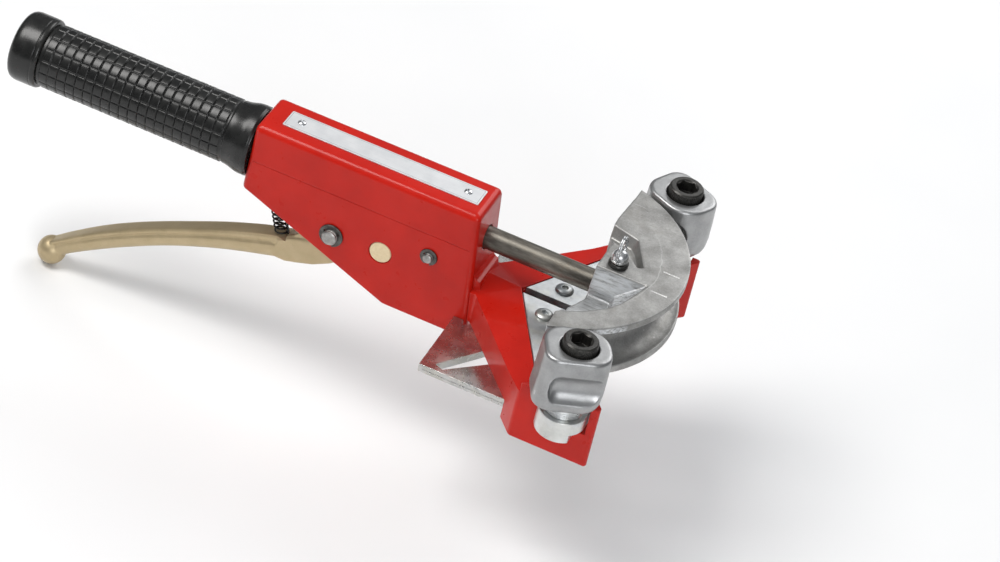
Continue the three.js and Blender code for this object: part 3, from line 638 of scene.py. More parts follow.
def label_metal():
    mat = Material("label_metal", edge_radius=0.2)
    # distance in from the nameplate's outline, which carries a printed frame line
    middle = (PLATE_REAR + PLATE_FRONT) / 2 + SHIFT.x
    axes = mat.axes()
    off_x = mat.math("ABSOLUTE", mat.math("SUBTRACT", axes[0], middle))
    off_y = mat.math("ABSOLUTE", axes[1])
    inset = mat.math("MINIMUM",
                     mat.math("SUBTRACT", (PLATE_FRONT - PLATE_REAR) / 2, off_x),
                     mat.math("SUBTRACT", PLATE_HALF_W, off_y))
    line = mat.times(mat.remap(inset, (0.75, 0.83)),
                     mat.remap(inset, (1.00, 1.08), to=(1.0, 0.0)))
    brushed = mat.noise(scale=1.8, detail=5, rough=0.7, stretch=(0.035, 1.0, 1.0))
    mat.two_tone(mat.noise(scale=0.12, detail=5), (0.70, 0.715, 0.73), (0.80, 0.81, 0.82))
    mat.tint((0.60, 0.62, 0.64), brushed, span=(0.40, 0.62), share=0.22)
    mat.tint((0.23, 0.23, 0.24), line, share=0.75)
    smudge = mat.noise(scale=0.35, detail=8, rough=0.7)
    mat.tint((0.45, 0.44, 0.42), smudge, span=(0.60, 0.74), share=0.18)
    mat.tint((0.40, 0.40, 0.41), mat.edge_mask(), share=0.5)
    mat.bump(brushed, strength=0.12, depth=0.04)
    return mat.finish(metal=0.35, rough=mat.remap(brushed, MID, to=(0.30, 0.42)),
                      coat=0.25, coat_rough=0.15)


def cream_plastic():
    mat = Material("cream_plastic", edge_radius=0.3)
    mat.two_tone(mat.noise(scale=0.5, detail=6, rough=0.6),
                 (0.69, 0.545, 0.325), (0.775, 0.640, 0.415))
    dirt = mat.noise(scale=1.2, detail=7, rough=0.75)
    mat.tint((0.40, 0.28, 0.14), dirt, span=(0.62, 0.74), share=0.40)
    mat.tint((0.50, 0.38, 0.22), mat.edge_mask(), share=0.25)
    grain = mat.noise(scale=2.0, detail=4, rough=0.6)
    mat.bump(grain, strength=0.25, depth=0.05)
    return mat.finish(rough=mat.remap(grain, MID, to=(0.42, 0.58)))


def plain_metal(name, tone, grain, dark, light, metal, rough, strength, depth):
    """Two-tone metal; tone and grain hold the settings of their noises."""
    mat = Material(name, edge_radius=0.25)
    tone = mat.noise(**tone)
    mat.two_tone(tone, dark, light)
    mat.bump(mat.noise(**grain), strength, depth)
    return mat.finish(metal=metal, rough=mat.remap(tone, MID, to=rough))


# each finish is a material and a slot name
RED = red_enamel(), "red_paint"
ALU = cast_aluminium(
    "cast_aluminium", dark=(0.25, 0.247, 0.238), light=(0.40, 0.397, 0.385), rough=(0.58, 0.40),
    edge_radius=0.5, stain=0.25, grainy=0.40, painted_shine=0.45, former=True), "cast_aluminium"
ALU_SMOOTH = cast_aluminium(
    "cast_aluminium_tumbled", dark=(0.30, 0.303, 0.305), light=(0.40, 0.403, 0.405),
    rough=(0.42, 0.30), edge_radius=0.8, stain=0.12, grainy=0.26, painted_shine=0.6), "cast_aluminium"
ZINC = zinc("zinc_plate", dark=(0.50, 0.52, 0.53), light=(0.72, 0.74, 0.75),
            rough=(0.26, 0.42)), "zinc_plate"
ZINC_DULL = zinc("zinc_dull", dark=(0.34, 0.36, 0.37), light=(0.52, 0.54, 0.55),
                 rough=(0.32, 0.46)), "zinc_plate"
ROLLED = zinc("rolled_plate", dark=(0.40, 0.40, 0.39), light=(0.58, 0.58, 0.57),
              rough=(0.20, 0.34), edge_radius=0.3), "base_metal"
STEEL = drawn_steel("ram_steel", (0.085, 0.078, 0.066), (0.215, 0.200, 0.172)), "ram_steel"
PIN_BRIGHT = zinc("pin_plate", dark=(0.42, 0.43, 0.44), light=(0.66, 0.67, 0.68),
                  rough=(0.20, 0.32)), "chrome"
STEEL_Y = drawn_steel("pin_steel", (0.22, 0.22, 0.21), (0.46, 0.455, 0.44), "y"), "bright_steel"
SPRING = drawn_steel("spring_steel", (0.012, 0.012, 0.011), (0.045, 0.043, 0.040),
                     "z"), "bright_steel"
GOLD = gold_lever(), "gold_lever"
OXIDE = black_oxide(), "black_oxide"
RUBBER = rubber("black_rubber", rough=(0.22, 0.34), grainy=0.26), "black_rubber"
LABEL = label_metal(), "label_metal"
CREAM = cream_plastic(), "cream_plastic"
CHROME = plain_metal(
    "chrome_plate", tone={"scale": 0.6, "detail": 5, "rough": 0.6},
    grain={"scale": 3.0, "detail": 4, "rough": 0.6}, dark=(0.66, 0.67, 0.69),
    light=(0.80, 0.81, 0.82), metal=1.0, rough=(0.08, 0.22), strength=0.10, depth=0.03), "chrome"
BRONZE = plain_metal(
    "bronze_bush", tone={"scale": 0.5, "detail": 6, "rough": 0.6},
    grain={"scale": 2.5, "detail": 4, "rough": 0.6}, dark=(0.26, 0.17, 0.075),
    light=(0.46, 0.33, 0.16), metal=0.9, rough=(0.30, 0.48), strength=0.3,
    depth=0.05), "bronze_bush"
CLIP = drawn_steel("clip_steel", (0.05, 0.05, 0.047), (0.15, 0.147, 0.138), "y"), "black_oxide"
CAP = rubber("black_rubber_cap", rough=(0.20, 0.30), grainy=0.12), "black_rubber"

# ------------------------------------------------------------------ housing
# nameplate screws: x and turn of the cross slot in degrees
LABEL_SCREWS = {"rear": (-104.5, 20), "front": (-11.6, 55)}


def label_holes(radius):
    return [bar("z", radius, 14, 24, (x, 0), 24) for x, _ in LABEL_SCREWS.values()]


def front_x(z):
    """The front wall leans out towards the foot."""
    return 1.6 + (TOP - z) * 0.092


def housing_share(a, b):
    if near(abs(a.y), HALF_W) and near(a.y, b.y):
        if near(a.z, TOP) and near(b.z, TOP):
            return 1.0                     # long top edges
        if a.x > 0 and b.x > 0:
            return 0.9                     # front uprights
        if a.x < -122 and b.x < -122:
            return 0.75                    # rear uprights
        if near(a.z, FOOT) and near(b.z, FOOT):
            return 0.25
        return 0.32                        # sloping lower edges
    if near(a.z, TOP) and near(b.z, TOP):
        return 0.8 if a.x > 0 else 0.65
    if near(a.x, -38):
        return 0.6
    if near(a.x, -119.5) or near(a.x, -124.3):
        return 0.4
    return 0.0


# side view as (x, z)
housing_side = [(-123, TOP), (-124.3, -18.6), (-119.5, -20.4), (-38, FOOT),
                (front_x(FOOT), FOOT), (front_x(TOP), TOP)]
housing = prism(housing_side, "y", -HALF_W, HALF_W)
bevel(housing, 4.0, 8, housing_share)
boole(housing,
      # the hollow, open below
      block(-96, -10.3, -11.5, 11.5, -70, 13), block(-115.5, -90, -11.5, 11.5, -70, -27),
      # bores along the ram axis
      bar("x", 9, -12, 1.3, segments=96), bar("x", 6.75, -1, 8, segments=96),
      bar("x", RAM_BORE, -105, -95, segments=96), bar("x", 11.05, -130, -104, segments=96),
      # cross holes
      bar("y", 4.04, -20, 20, PIVOT), bar("y", 6.06, -20, 20, BUTTON),
      bar("y", 6.35, -20, -15.2, BUTTON), bar("y", 6.35, 15.2, 20, BUTTON),
      bar("y", 2.54, -20, 20, HOLD), *label_holes(1.05),
      # a fine seam line along each side
      block(-122.6, 3.0, -17, -15.80, -0.70, -0.42), block(-122.6, 3.0, 15.80, 17, -0.70, -0.42))
piece(housing, "housing_body", "housing", RED)

bush = lathe([(-10.2, 8.95), (-10.2, 6.05), (0.8, 6.05), (1.2, 6.45), (1.2, 8.5), (0.8, 8.95)],
             "x")
piece(bush, "front_bush_ring", "front_bush", BRONZE)

label = prism(rounded(rect(PLATE_REAR, PLATE_FRONT, -PLATE_HALF_W, PLATE_HALF_W), 0.7, 5),
              "z", TOP, 21.6)
boole(label, *label_holes(1.1))
soften(label, 0.14, 2)
piece(label, "nameplate_sheet", "nameplate", LABEL)

CROSS_HALF_LENGTH, CROSS_HALF_WIDTH = 1.45, 0.26
for tag, (x, turn) in LABEL_SCREWS.items():
    screw = lathe([(16, 0), (16, 1), (21.6, 1), (21.6, 2.2), (21.9, 2.2), (22.2, 2.0),
                   (22.5, 1.5), (22.7, 0.8), (22.75, 0)], "z", (x, 0), 40)
    arms = []
    for angle in (math.radians(turn), math.radians(turn + 90)):
        along = Vector((math.cos(angle), math.sin(angle)))
        across = Vector((-math.sin(angle), math.cos(angle)))
        corners = [along * i * CROSS_HALF_LENGTH + across * j * CROSS_HALF_WIDTH
                   for i, j in rect(-1, 1, -1, 1)]
        arms.append(prism([(x + c.x, c.y) for c in corners], "z", 22.0, 23.5))
    boole(screw, *arms)
    piece(screw, f"nameplate_screw_{tag}_head", f"nameplate_screw_{tag}", CHROME)

# ------------------------------------------------------------------ fork
FORK_PLAN = rounded(
    [(0, -16), (9, -16), (56, -72.2), (100, -72.2), (39.5, 0),
     (100, 72.2), (56, 72.2), (9, 16), (0, 16)],
    [0, 2.5, 3.5, 1.7, 4, 1.7, 3.5, 2.5, 0], 7)


def fork_slope(side):
    """What lies above the sloping top of one arm, as a cutter."""
    low = [(-1, -0.3, -19.5), (28, -0.3, -21.5), (63.2, 65.6, -21.5), (0, 16, -24.5),
           (9, 16, -24.5), (56, 72.2, -24.5), (0, 22, -26), (4, 24, -26), (50, 78, -27.5)]
    return hull([(x, y * side, z) for x, y, z in low] + [(x, y * side, 0) for x, y, z in low])


def fork_lip(side):
    """End wall beside the cross plate's end: the fork's plan carried up, kept at the tip."""
    y0, y1 = 64.8 * side, 80 * side
    tip_area = [(93.6, y0), (93.6, y1), (110, y1), (110, y0)][::side]
    return boole(prism(FORK_PLAN, "z", -34.6, -17), prism(tip_area, "z", -40, 0),
                 op="INTERSECT")


def fork_share(a, b):
    return 1.0 if near(a.z, b.z) and near(a.z, FOOT) and (a.x + b.x) / 2 > 1 else 0.0


fork = prism(FORK_PLAN, "z", FOOT, -19.5)
bevel(fork, 1.2, 4, fork_share)
recess_left = [(54, 50), (62.5, 66), (67.4, 67.6), (67.4, 90), (94, 90), (130, 90)]
boole(fork,
      prism([(-10, 0), (-10, -55), (front_x(-55), -55), (front_x(0), 0)], "y", -16.2, 16.2),
      fork_slope(1), fork_slope(-1),
      prism([(27, 0)] + recess_left + mirror_y(recess_left), "z", -34.5, 0),
      block(-1, 120, -62.3, 62.3, -60, -42.3),
      *[bar("z", 3.15, -60, 0, at, 32) for at in CROSS_SCREWS.values()],
      *[bar("z", 2.55, -60, -37, at, 24) for at in BASE_SCREWS.values()])
# filleted web, as (x, z), where the fork meets the housing's front
FILLET_R = 3.4
fillet = [(front_x(-19.5) + FILLET_R * (1 - math.sin(math.radians(t))),
           -15.9 - FILLET_R * math.cos(math.radians(t))) for t in (5, 20, 35, 50, 65, 80)]
web = [(front_x(-24) - 0.5, -24), (9.6, -24)] + fillet + [(front_x(-15.5) - 0.4, -15.5)]
boole(fork, fork_lip(1), fork_lip(-1), prism(web, "y", -12.6, 12.6), op="UNION")
soften(fork, 0.8, 3, 30)
piece(fork, "fork_casting", "fork_frame", RED)

# ------------------------------------------------------------------ cross plate
plate_left = ([(28.45, 1.9), (54.4, 50.1), (62.8, 65.7), (67.8, 67.2)]
              + arc(*BOLT, 12.5, 180, 0, 40) + [(92.8, 64), (62, 24), (62, 9), (92, 9)])
cross = prism(plate_left + [(93.5, 7), (93.5, -7)] + mirror_y(plate_left), "z", -34.5, -22)
soften(cross, 0.5, 3, 20)
peg_slot = [(20, -2.5), (88, -2.5)] + arc(88, 0, 2.5, -90, 90, 14)[1:-1] + [(88, 2.5), (20, 2.5)]
boole(cross, prism(peg_slot, "z", -40, 0),
      *[bar("z", 3.1, -40, 0, at, 32) for at in CROSS_SCREWS.values()],
      *[bar("z", 6.03, -40, 0, (BOLT[0], BOLT[1] * side)) for side in (1, -1)],
      block(88.5, 95, 60, 90, -35, -29.5), block(88.5, 95, -90, -60, -35, -29.5))
piece(cross, "cross_plate_bar", "cross_plate", ZINC)
for (tag, at), turn in zip(CROSS_SCREWS.items(), (12, 40)):
    screw = lathe([(-41, 0), (-41, 3), (-22, 3), (-22, 4.7), (-21.85, 4.8), (-21.4, 4.75),
                   (-20.9, 4.4), (-20.45, 3.7), (-20.2, 2.8), (-20.1, 2.2), (-20.1, 0)],
                  "z", at, 64)
    boole(screw, hex_bar(1.9, -21.7, -18.5, at, turn))
    piece(screw, f"cross_plate_screw_{tag}_button", f"cross_plate_screw_{tag}", ZINC_DULL)

# ------------------------------------------------------------------ base plate
window = rounded([(7.6, -57.4), (12.4, -59.2), (31, -40.5), (31, -30), (26, -30)],
                 [0.8, 0.8, 1.5, 1.5, 1.5], 4)
base = prism(rounded(rect(0.5, 70, -62, 62), [0.8, 2, 2, 0.8], 5), "z", -47, -42.3)
soften(base, 0.45, 3, 30)
screw_holes = []
for at in BASE_SCREWS.values():
    screw_holes += [bar("z", 2.6, -60, -40, at, 32), bar("z", 4.6, -48, -44, at, 48)]
boole(base, prism(window, "z", -60, -40), prism(mirror_y(window), "z", -60, -40),
      prism(rounded([(6, -22), (14, -12), (14, 12), (6, 22)], 1.0, 4), "z", -60, -40),
      prism([(75, -30), (50, -8), (50, 8), (75, 30)], "z", -60, -40),
      block(-1, 8.7, -16.35, 16.35, -60, -40), *screw_holes)
# a shallow groove runs along the rear edge and along each side edge
boole(base, block(0.2, 0.75, -60.5, 60.5, -45.0, -44.6),
      block(3, 68, -62.3, -61.75, -45.0, -44.6), block(3, 68, 61.75, 62.3, -45.0, -44.6))
piece(base, "base_plate_sheet", "base_plate", ROLLED)
for tag, at in BASE_SCREWS.items():
    screw = lathe([(-38, 0), (-46.6, 0), (-46.8, 0.4), (-46.8, 4.1), (-46.5, 4.4), (-44, 4.4),
                   (-44, 2.5), (-38, 2.5)], "z", at, 48)
    boole(screw, hex_bar(1.75, -48, -45.2, at, 17))
    piece(screw, f"base_screw_{tag}_cap", f"base_screw_{tag}", ZINC)

# ------------------------------------------------------------------ bolts and counter-formers
HEAD_R, KNURL_SEGMENTS, KNURL_DEPTH = 9.0, 144, 0.972


def swivel_bolt(tag, at, turn):
    bolt = lathe([(-34, 0), (-34, 5.4), (-33, 6), (10.2, 6), (10.2, 8.7), (10.6, HEAD_R),
                  (20.9, HEAD_R), (21.4, 8.8), (22.1, 8.0), (22.1, 0)], "z", at, KNURL_SEGMENTS)
    # fine knurl: every third point of the head's wall is pulled in
    for v in bolt.data.vertices:
        out = Vector((v.co.x - at[0], v.co.y - at[1]))
        if 10.5 < v.co.z < 21.0 and out.length > 8.9:
            if round(math.atan2(out.y, out.x) / (2 * math.pi / KNURL_SEGMENTS)) % 3 == 0:
                v.co.x, v.co.y = at[0] + out.x * KNURL_DEPTH, at[1] + out.y * KNURL_DEPTH
    countersink = [(21.3, 0), (21.3, 5.2), (22.6, 6.6), (23, 6.6), (23, 0)]
    boole(bolt, hex_bar(5.77, 15.5, 24, at, turn), lathe(countersink, "z", at, 64))
    piece(bolt, f"swivel_bolt_{tag}_screw", f"swivel_bolt_{tag}", OXIDE, sharp=24)


def spacer(tag, at):
    profile = [(-22, 6.1), (-22, 9.6), (-21.7, 9.95)]
    for k in range(5):
        z = -21.1 + k * 1.15
        profile += [(z, 9.95), (z + 0.28, 9.62), (z + 0.56, 9.95)]
    profile += [(-15.7, 9.95), (-15.4, 9.6), (-15.4, 6.1)]
    piece(lathe(profile, "z", at), f"spacer_{tag}_washer", f"spacer_{tag}", ZINC, sharp=40)


# outline at each height, about the bolt: z, x of the back, x of the tube side,
# reach forward, reach rearward, corner radius
COUNTER_LEVELS = [
    (17.5, -12.2, 13.9, 15.4, 16.4, 8), (17.15, -12.8, 14.5, 15.95, 17.0, 8.3),
    (16.2, -13.4, 15, 16.4, 17.6, 8.5), (5, -14.2, 15, 16.35, 18.2, 8.5),
    (-5, -14.6, 15, 16.2, 18.6, 8.5), (-11, -14.3, 15, 15.6, 19.0, 8.5),
    (-13.4, -13.5, 14.9, 14.9, 18.5, 8.2), (-14.7, -12.4, 14.3, 13.7, 17.3, 7.8),
    (-FORMER_H, -11.4, 13.6, 12.6, 16.2, 7.5)]
# hollow in the back, as (along y, radius) for the right-hand one
HOLLOW = [(-17.5, 0), (-17.5, 5.0), (-17.2, 6.6), (-16.4, 8.0), (-15.2, 9.0), (-13.6, 9.6),
          (-11.5, 9.9), (7.4, 9.9), (9.2, 9.7), (10.8, 9.0), (12.0, 7.9), (12.8, 6.5),
          (13.2, 5.0), (13.2, 0)]


def counter_former(tag, side, at):
    """Made about its bolt with the tube groove along local y, then swung into place."""
    skin = []
    for z, back, tube_side, ahead, behind, corner in COUNTER_LEVELS:
        y0, y1 = (-behind, ahead) if side > 0 else (-ahead, behind)
        radii = [corner, corner + 2, corner + 5.5, corner + 1.5][::side]
        outline = rounded(rect(back, tube_side, y0, y1), radii, 9)
        skin += [(x, y, z) for x, y in outline]
    former = hull(skin)
    hollow = [(-y, radius) for y, radius in HOLLOW][::-1] if side > 0 else HOLLOW
    boole(former, bar("y", GROOVE_R, -30, 30, (18.5, 0), 96), lathe(hollow, "y", (-19.2, 0)))
    cast(former, voxel=0.40, passes=10, factor=0.65)
    head_seat = [(10, 0), (10, 9.45), (10.3, 9.75), (17.0, 9.75), (18.5, 11.0), (19, 11.0),
                 (19, 0)]
    boole(former, bar("z", 6.1, -30, 30), lathe(head_seat, "z"))
    swing = Matrix.Rotation(math.radians(-side * COUNTER_ANGLE), 4, "Z")
    former.data.transform(Matrix.Translation((*at, 0)) @ swing)
    piece(former, f"counter_former_{tag}_block", f"counter_former_{tag}", ALU_SMOOTH,
          f"counter_former_{tag}_body", sharp=50, weighted=False)


for tag, side, turn in (("left", 1, 8), ("right", -1, -14)):
    at = (BOLT[0], BOLT[1] * side)
    swivel_bolt(tag, at, turn)
    spacer(tag, at)
    counter_former(tag, side, at)

# ------------------------------------------------------------------ ram
RACK_START, RACK_PITCH, RACK_TEETH = -94, 4, 29
ram = lathe([(-110, 0), (-110, 5.2), (-109.2, RAM_R)]
            + [(-109.2 + i * 10, RAM_R) for i in range(1, 20)]
            + [(84.2, RAM_R), (85, 5.2), (85, 0)], "x")
saw = [(RACK_START, -9), (RACK_START, -6.3)]
for i in range(1, RACK_TEETH + 1):
    x = RACK_START + i * RACK_PITCH
    saw += [(x, -4), (x, -6.3 if i < RACK_TEETH else -9)]
boole(ram, prism(saw[::-1], "y", -8, 8), bar("z", 3.1, -10, 10, (LOCK_X, 0), 48))
piece(ram, "ram_rod_rack", "ram_rod", STEEL, "ram")
collar = lathe([(-109, 6.1), (-109, 6.9), (-108.7, 7.2), (-104.9, 7.2), (-104.6, 6.9),
                (-104.6, 6.1)], "x")
piece(collar, "ram_stop_ring", "ram_stop_collar", STEEL, "ram")

# ------------------------------------------------------------------ bending former
# rear outline of the left half; its first point closes the rim's arc
former_rear = [(59.5, 60), (59, 53), (58, 36), (58.6, 27), (61, 21.5), (63.4, 15), (63, 11.2)]
tip = math.degrees(math.acos((former_rear[0][0] - FORMER_C) / FORMER_R))
former = prism(arc(FORMER_C, 0, FORMER_R, -tip, tip, 150) + former_rear + mirror_y(former_rear),
               "z", -FORMER_H, FORMER_H)
groove = [(z, BEND_R + out) for out, z in arc(0, 0, GROOVE_R, 0, 354, 59)]
boole(former, lathe(groove, "z", (FORMER_C, 0), 240))
OPEN_Z = FORMER_H + 0.02


def pocket(side, up, floor):
    """Large pocket on one side (+1 left), open upwards (+1) or downwards, in two steps."""
    floor_plan = [(40, 11.2), (75.5, 11.2), (77.5, 23.5), (70.5, 33.8), (40, 34)]
    step_plan = [(40, 11.2), (76.8, 11.2), (79, 25), (71.5, 36), (40, 36.2)]
    mouth_plan = [(40, 6.5), (91, 6.5), (90, 10), (85, 27), (80, 36), (70, 45.8), (59, 53),
                  (40, 57)]
    low, step, mouth = ([(x, y * side) for x, y in plan]
                        for plan in (floor_plan, step_plan, mouth_plan))
    return [layers((low, up * floor), (step, up * 4.4)),
            layers((step, up * 4.39), (mouth, up * OPEN_Z))]


# the smaller pocket in the top of the left half, and its narrow run towards the ram
small_pocket = [
    layers(([(61, 19.5), (72.5, 15.3), (76, 17.8), (71.5, 23), (56, 27)], 9.5),
           ([(61, 17), (71.8, 13), (77, 18.8), (73.5, 25.5), (56, 30.5), (56, 19)], OPEN_Z)),
    layers(([(72.5, 15.3), (80.2, 7.5), (81, 8.6), (76, 17.8)], 9.5),
           ([(71.8, 13), (81, 3.8), (84, 5.6), (77, 18.8)], OPEN_Z))]
boole(former, *small_pocket, *pocket(-1, 1, -0.5), *pocket(1, -1, 3.2), *pocket(-1, -1, 3.2))
cast(former, voxel=0.40, passes=4, factor=0.55)
index_marks = [prism(rounded(rect(93.6, 101.9, y - 0.36, y + 0.36), 0.3, 3), "z", 15.0, 16)
               for y in (MARK_Y, -MARK_Y)]
boole(former, bar("x", RAM_R + 0.08, 50, 85.2, segments=96),
      bar("z", 3.1, -13, 20, (LOCK_X, 0), 48), bar("z", 2.35, -20, -9, (PEG_X, 0), 32),
      *index_marks)
piece(former, "bending_former_casting", "bending_former", ALU, "ram", sharp=50, weighted=False)

peg = lathe([(-31, 0), (-31, 1.8), (-30.4, 2.3), (-9.3, 2.3), (-9.3, 0)], "z", (PEG_X, 0), 40)
piece(peg, "former_guide_peg", "former_guide_pin", STEEL_Y, "ram")

# ------------------------------------------------------------------ locking pin
collar = lathe([(15.4, 3.15), (15.4, 5.0), (15.6, 5.2), (17.1, 5.2), (17.8, 4.7), (17.8, 3.15)],
               "z", (LOCK_X, 0), 72)
piece(collar, "locking_pin_collar_ring", "locking_pin_collar", OXIDE, "ram")
shank = lathe([(-11.5, 0), (-11.5, 2.2), (-10.6, 3), (18.1, 3), (18.1, 4.1), (18.3, 4.3),
               (19.2, 4.3), (19.4, 4.05), (19.7, 4.05), (19.9, 4.3), (20.9, 4.3), (22.0, 4.1),
               (23.0, 3.5), (23.8, 2.7), (24.4, 1.5), (24.6, 0)], "z", (LOCK_X, 0), 72)
boole(shank, bar("y", 0.95, -6, 6, (LOCK_X, 21.2), 24))
piece(shank, "locking_pin_shank", "locking_pin", PIN_BRIGHT, "locking_pin_assembly")
# a split ring, as (z, y): two turns of wire lying side by side
loop = [(21.2, 4), (21.2, 0), (21.2, -4), (21.6, -5.6), (24.3, -6.2), (28.8, -5.2), (31.8, -2.4),
        (32.6, 0), (31.8, 2.4), (28.8, 5.2), (25.4, 6.2), (22.2, 5.9)]
two_turns = catmull([(0, y, z) for z, y in loop + loop + loop[:1]])
wire_path = []
for i, point in enumerate(two_turns):
    past_middle = i / (len(two_turns) - 1) - 0.5
    x = LOCK_X + 0.46 * max(-1.0, min(1.0, past_middle * 9)) + 0.05 * past_middle
    wire_path.append((x, point.y, point.z))
piece(sweep(wire_path, 0.44, 12), "locking_pin_wire", "locking_pin_ring", PIN_BRIGHT,
      "locking_pin_assembly", weighted=False)

# ------------------------------------------------------------------ grip
tube = lathe([(-258.5, 11), (-104.5, 11), (-104.1, 10.6), (-104.1, 7.9), (-104.5, 7.5),
              (-258.5, 7.5)], "x", segments=72)
piece(tube, "grip_core_tube", "grip_tube", STEEL)

GRIP_REAR, GRIP_FRONT, GRIP_R, GRIP_BORE = -244.8, -124.35, 16.55, 11.1
STEPS_X, STEPS_AROUND = 420, 352
# rings of raised pads: start, pitch, number of rings, pads in a ring, radius they are spaced at
PADS_FROM, PAD_PITCH, PAD_RINGS, PADS_AROUND, PAD_SPACING_R = -243.2, 5.15, 20, 16, 16.6


def smooth(a, b, x):
    t = max(0.0, min(1.0, (x - a) / (b - a)))
    return t * t * (3 - 2 * t)


def grip_radius(x):
    """Even along the pads, flaring into a collar at the front."""
    if x < -139:
        return GRIP_R
    flare = smooth(-139.2, -138.4, x) * 0.55 + smooth(-138.2, -129.0, x) * 1.75
    return GRIP_R + flare - smooth(-125.9, GRIP_FRONT, x) * 0.8


def pad_height(x, angle):
    along = (x - PADS_FROM) / PAD_PITCH
    ring = math.floor(along)
    if not 0 <= ring < PAD_RINGS:
        return 0.0
    u = along - ring
    w = (angle / (2 * math.pi) * PADS_AROUND) % 1.0
    from_end = min(u, 1 - u) * PAD_PITCH
    from_side = min(w, 1 - w) * (2 * math.pi * PAD_SPACING_R / PADS_AROUND)
    raised = smooth(0.10, 0.50, from_end) * smooth(0.08, 0.42, from_side)
    crown = 0.14 * (1 - (2 * w - 1) ** 2) + 0.12 * (u - 0.35)    # crowned, leaning a little
    return raised * (0.42 + crown) - (1 - smooth(0.0, 0.35, from_end)) * 0.12


def grip_ring(x, radius_at):
    angles = [2 * math.pi * (j + 0.5) / STEPS_AROUND for j in range(STEPS_AROUND)]
    return [(x, radius_at(a) * math.cos(a), radius_at(a) * math.sin(a)) for a in angles]


rings = []
for i in range(STEPS_X + 1):
    x = GRIP_REAR + (GRIP_FRONT - GRIP_REAR) * i / STEPS_X
    rings.append(grip_ring(x, lambda a: grip_radius(x) + pad_height(x, a)))
verts, faces, _ = loft(rings)
bore, front = len(verts), STEPS_X * STEPS_AROUND
verts += grip_ring(GRIP_REAR + 0.2, lambda a: GRIP_BORE) + grip_ring(GRIP_FRONT, lambda a: GRIP_BORE)
bore_front = bore + STEPS_AROUND
for j in range(STEPS_AROUND):
    m = (j + 1) % STEPS_AROUND
    faces.append((j, m, bore + m, bore + j))
    faces.append((front + j, front + m, bore_front + m, bore_front + j))
    faces.append((bore + j, bore + m, bore_front + m, bore_front + j))
piece(solid(verts, faces), "grip_sleeve_rubber", "grip_sleeve", RUBBER, sharp=60, weighted=False)

cap = lathe([
    (-261.4, 0), (-261.4, 8.0), (-261.1, 8.4), (-260.7, 8.8), (-260.7, 10.2), (-261.1, 10.6),
    (-261.4, 11.0), (-261.4, 15.4), (-261.25, 16.3), (-260.8, 17.1), (-260.0, 17.9),
    (-258.9, 18.45), (-257.4, 18.75), (-255.5, 18.8), (-248.4, 18.75), (-248.1, 18.5),
    (-247.7, 18.5), (-247.4, 18.72), (-246.2, 18.6), (-245.5, 18.2), (-245.1, 17.6),
    (-245, 16.6), (-245, 11.1), (-258.8, 11.1), (-258.8, 0)], "x", segments=128)
piece(cap, "grip_end_cap_rubber", "grip_end_cap", CAP, sharp=38)


# ------------------------------------------------------------------ pins, clips, button
def dowel(name, node, radius, half, centre, chamfer):
    """Cross pin with a clip groove near each end."""
    end = [(half - 1.9, radius), (half - 1.7, radius - 0.25), (half - 1.4, radius - 0.25),
           (half - 1.2, radius), (half - chamfer * 0.8, radius), (half, radius - chamfer),
           (half, 0)]
    other_end = [(-y, r) for y, r in reversed(end)]
    piece(lathe(other_end + end, "y", centre, 64), name, node, STEEL_Y)


dowel("lever_pivot_dowel", "lever_pivot_pin", 4.0, 20.0, PIVOT, chamfer=0.6)
dowel("holding_pawl_dowel", "holding_pawl_pin", 2.5, 19.0, HOLD, chamfer=0.45)
# node, inner radius, outer radius, centre, y range
for node, inner, outer, centre, y0, y1 in (
        ("pivot_clip_right", 4.1, 6.5, PIVOT, -17.2, -16.1),
        ("pivot_clip_left", 4.1, 6.5, PIVOT, 16.1, 17.2),
        ("pawl_clip_right", 2.6, 4.7, HOLD, -17.1, -16.1),
        ("pawl_clip_left", 2.6, 4.7, HOLD, 16.1, 17.1)):
    x, z = centre
    clip = lathe([(y0, inner), (y0, outer - 0.2), (y0 + 0.2, outer), (y1 - 0.2, outer),
                  (y1, outer - 0.2), (y1, inner)], "y", centre, 64)
    # the gap below, and two notches in the bore
    cuts = [block(x - 1.3, x + 1.3, -30, 30, z - 10, z)]
    for angle in (math.radians(30), math.radians(150)):
        notch = (x + inner * math.cos(angle), z + inner * math.sin(angle))
        cuts.append(bar("y", (outer - inner) * 0.32, -30, 30, notch, 24))
    boole(clip, *cuts)
    piece(clip, node + "_ring", node, CLIP)

button = lathe([(-16, 0), (-15.9, 3.0), (-16, 5.2), (-15.85, 5.7), (-15.4, 6), (-5, 6),
                (-2, 3.6), (3, 3.6), (6, 6), (20.4, 6), (20.85, 5.7), (21, 5.2), (21, 0)],
               "y", BUTTON, 80)
piece(button, "release_button_plug", "release_button", CREAM, "release_button_body")

# ------------------------------------------------------------------ lever
# side view of the head, as (x, z)
head_side = [(-58, -27), (-59.5, -36), (-65, -45.2), (-73, -52), (-82, -57), (-92, -60.5),
             (-100, -62.0), (-105, -61.6), (-107, -58), (-106, -52), (-103, -48.6),
             (-95, -43.2), (-88.5, -36), (-86, -25), (-83, -16.5), (-77.5, -12), (-72, -11),
             (-66, -12.3), (-60, -17.8)]


def lever_share(a, b):
    return 1.0 if near(a.y, b.y) and (a.x + b.x) / 2 < -60 and (a.z + b.z) / 2 < -30 else 0.0


lever = prism(head_side, "y", -5.2, 5.2)
bevel(lever, 1.6, 4, lever_share)
boss = prism(head_side, "y", -7.5, 7.5)
boole(boss, bar("y", 17, -10, 10, PIVOT, 96), op="INTERSECT")
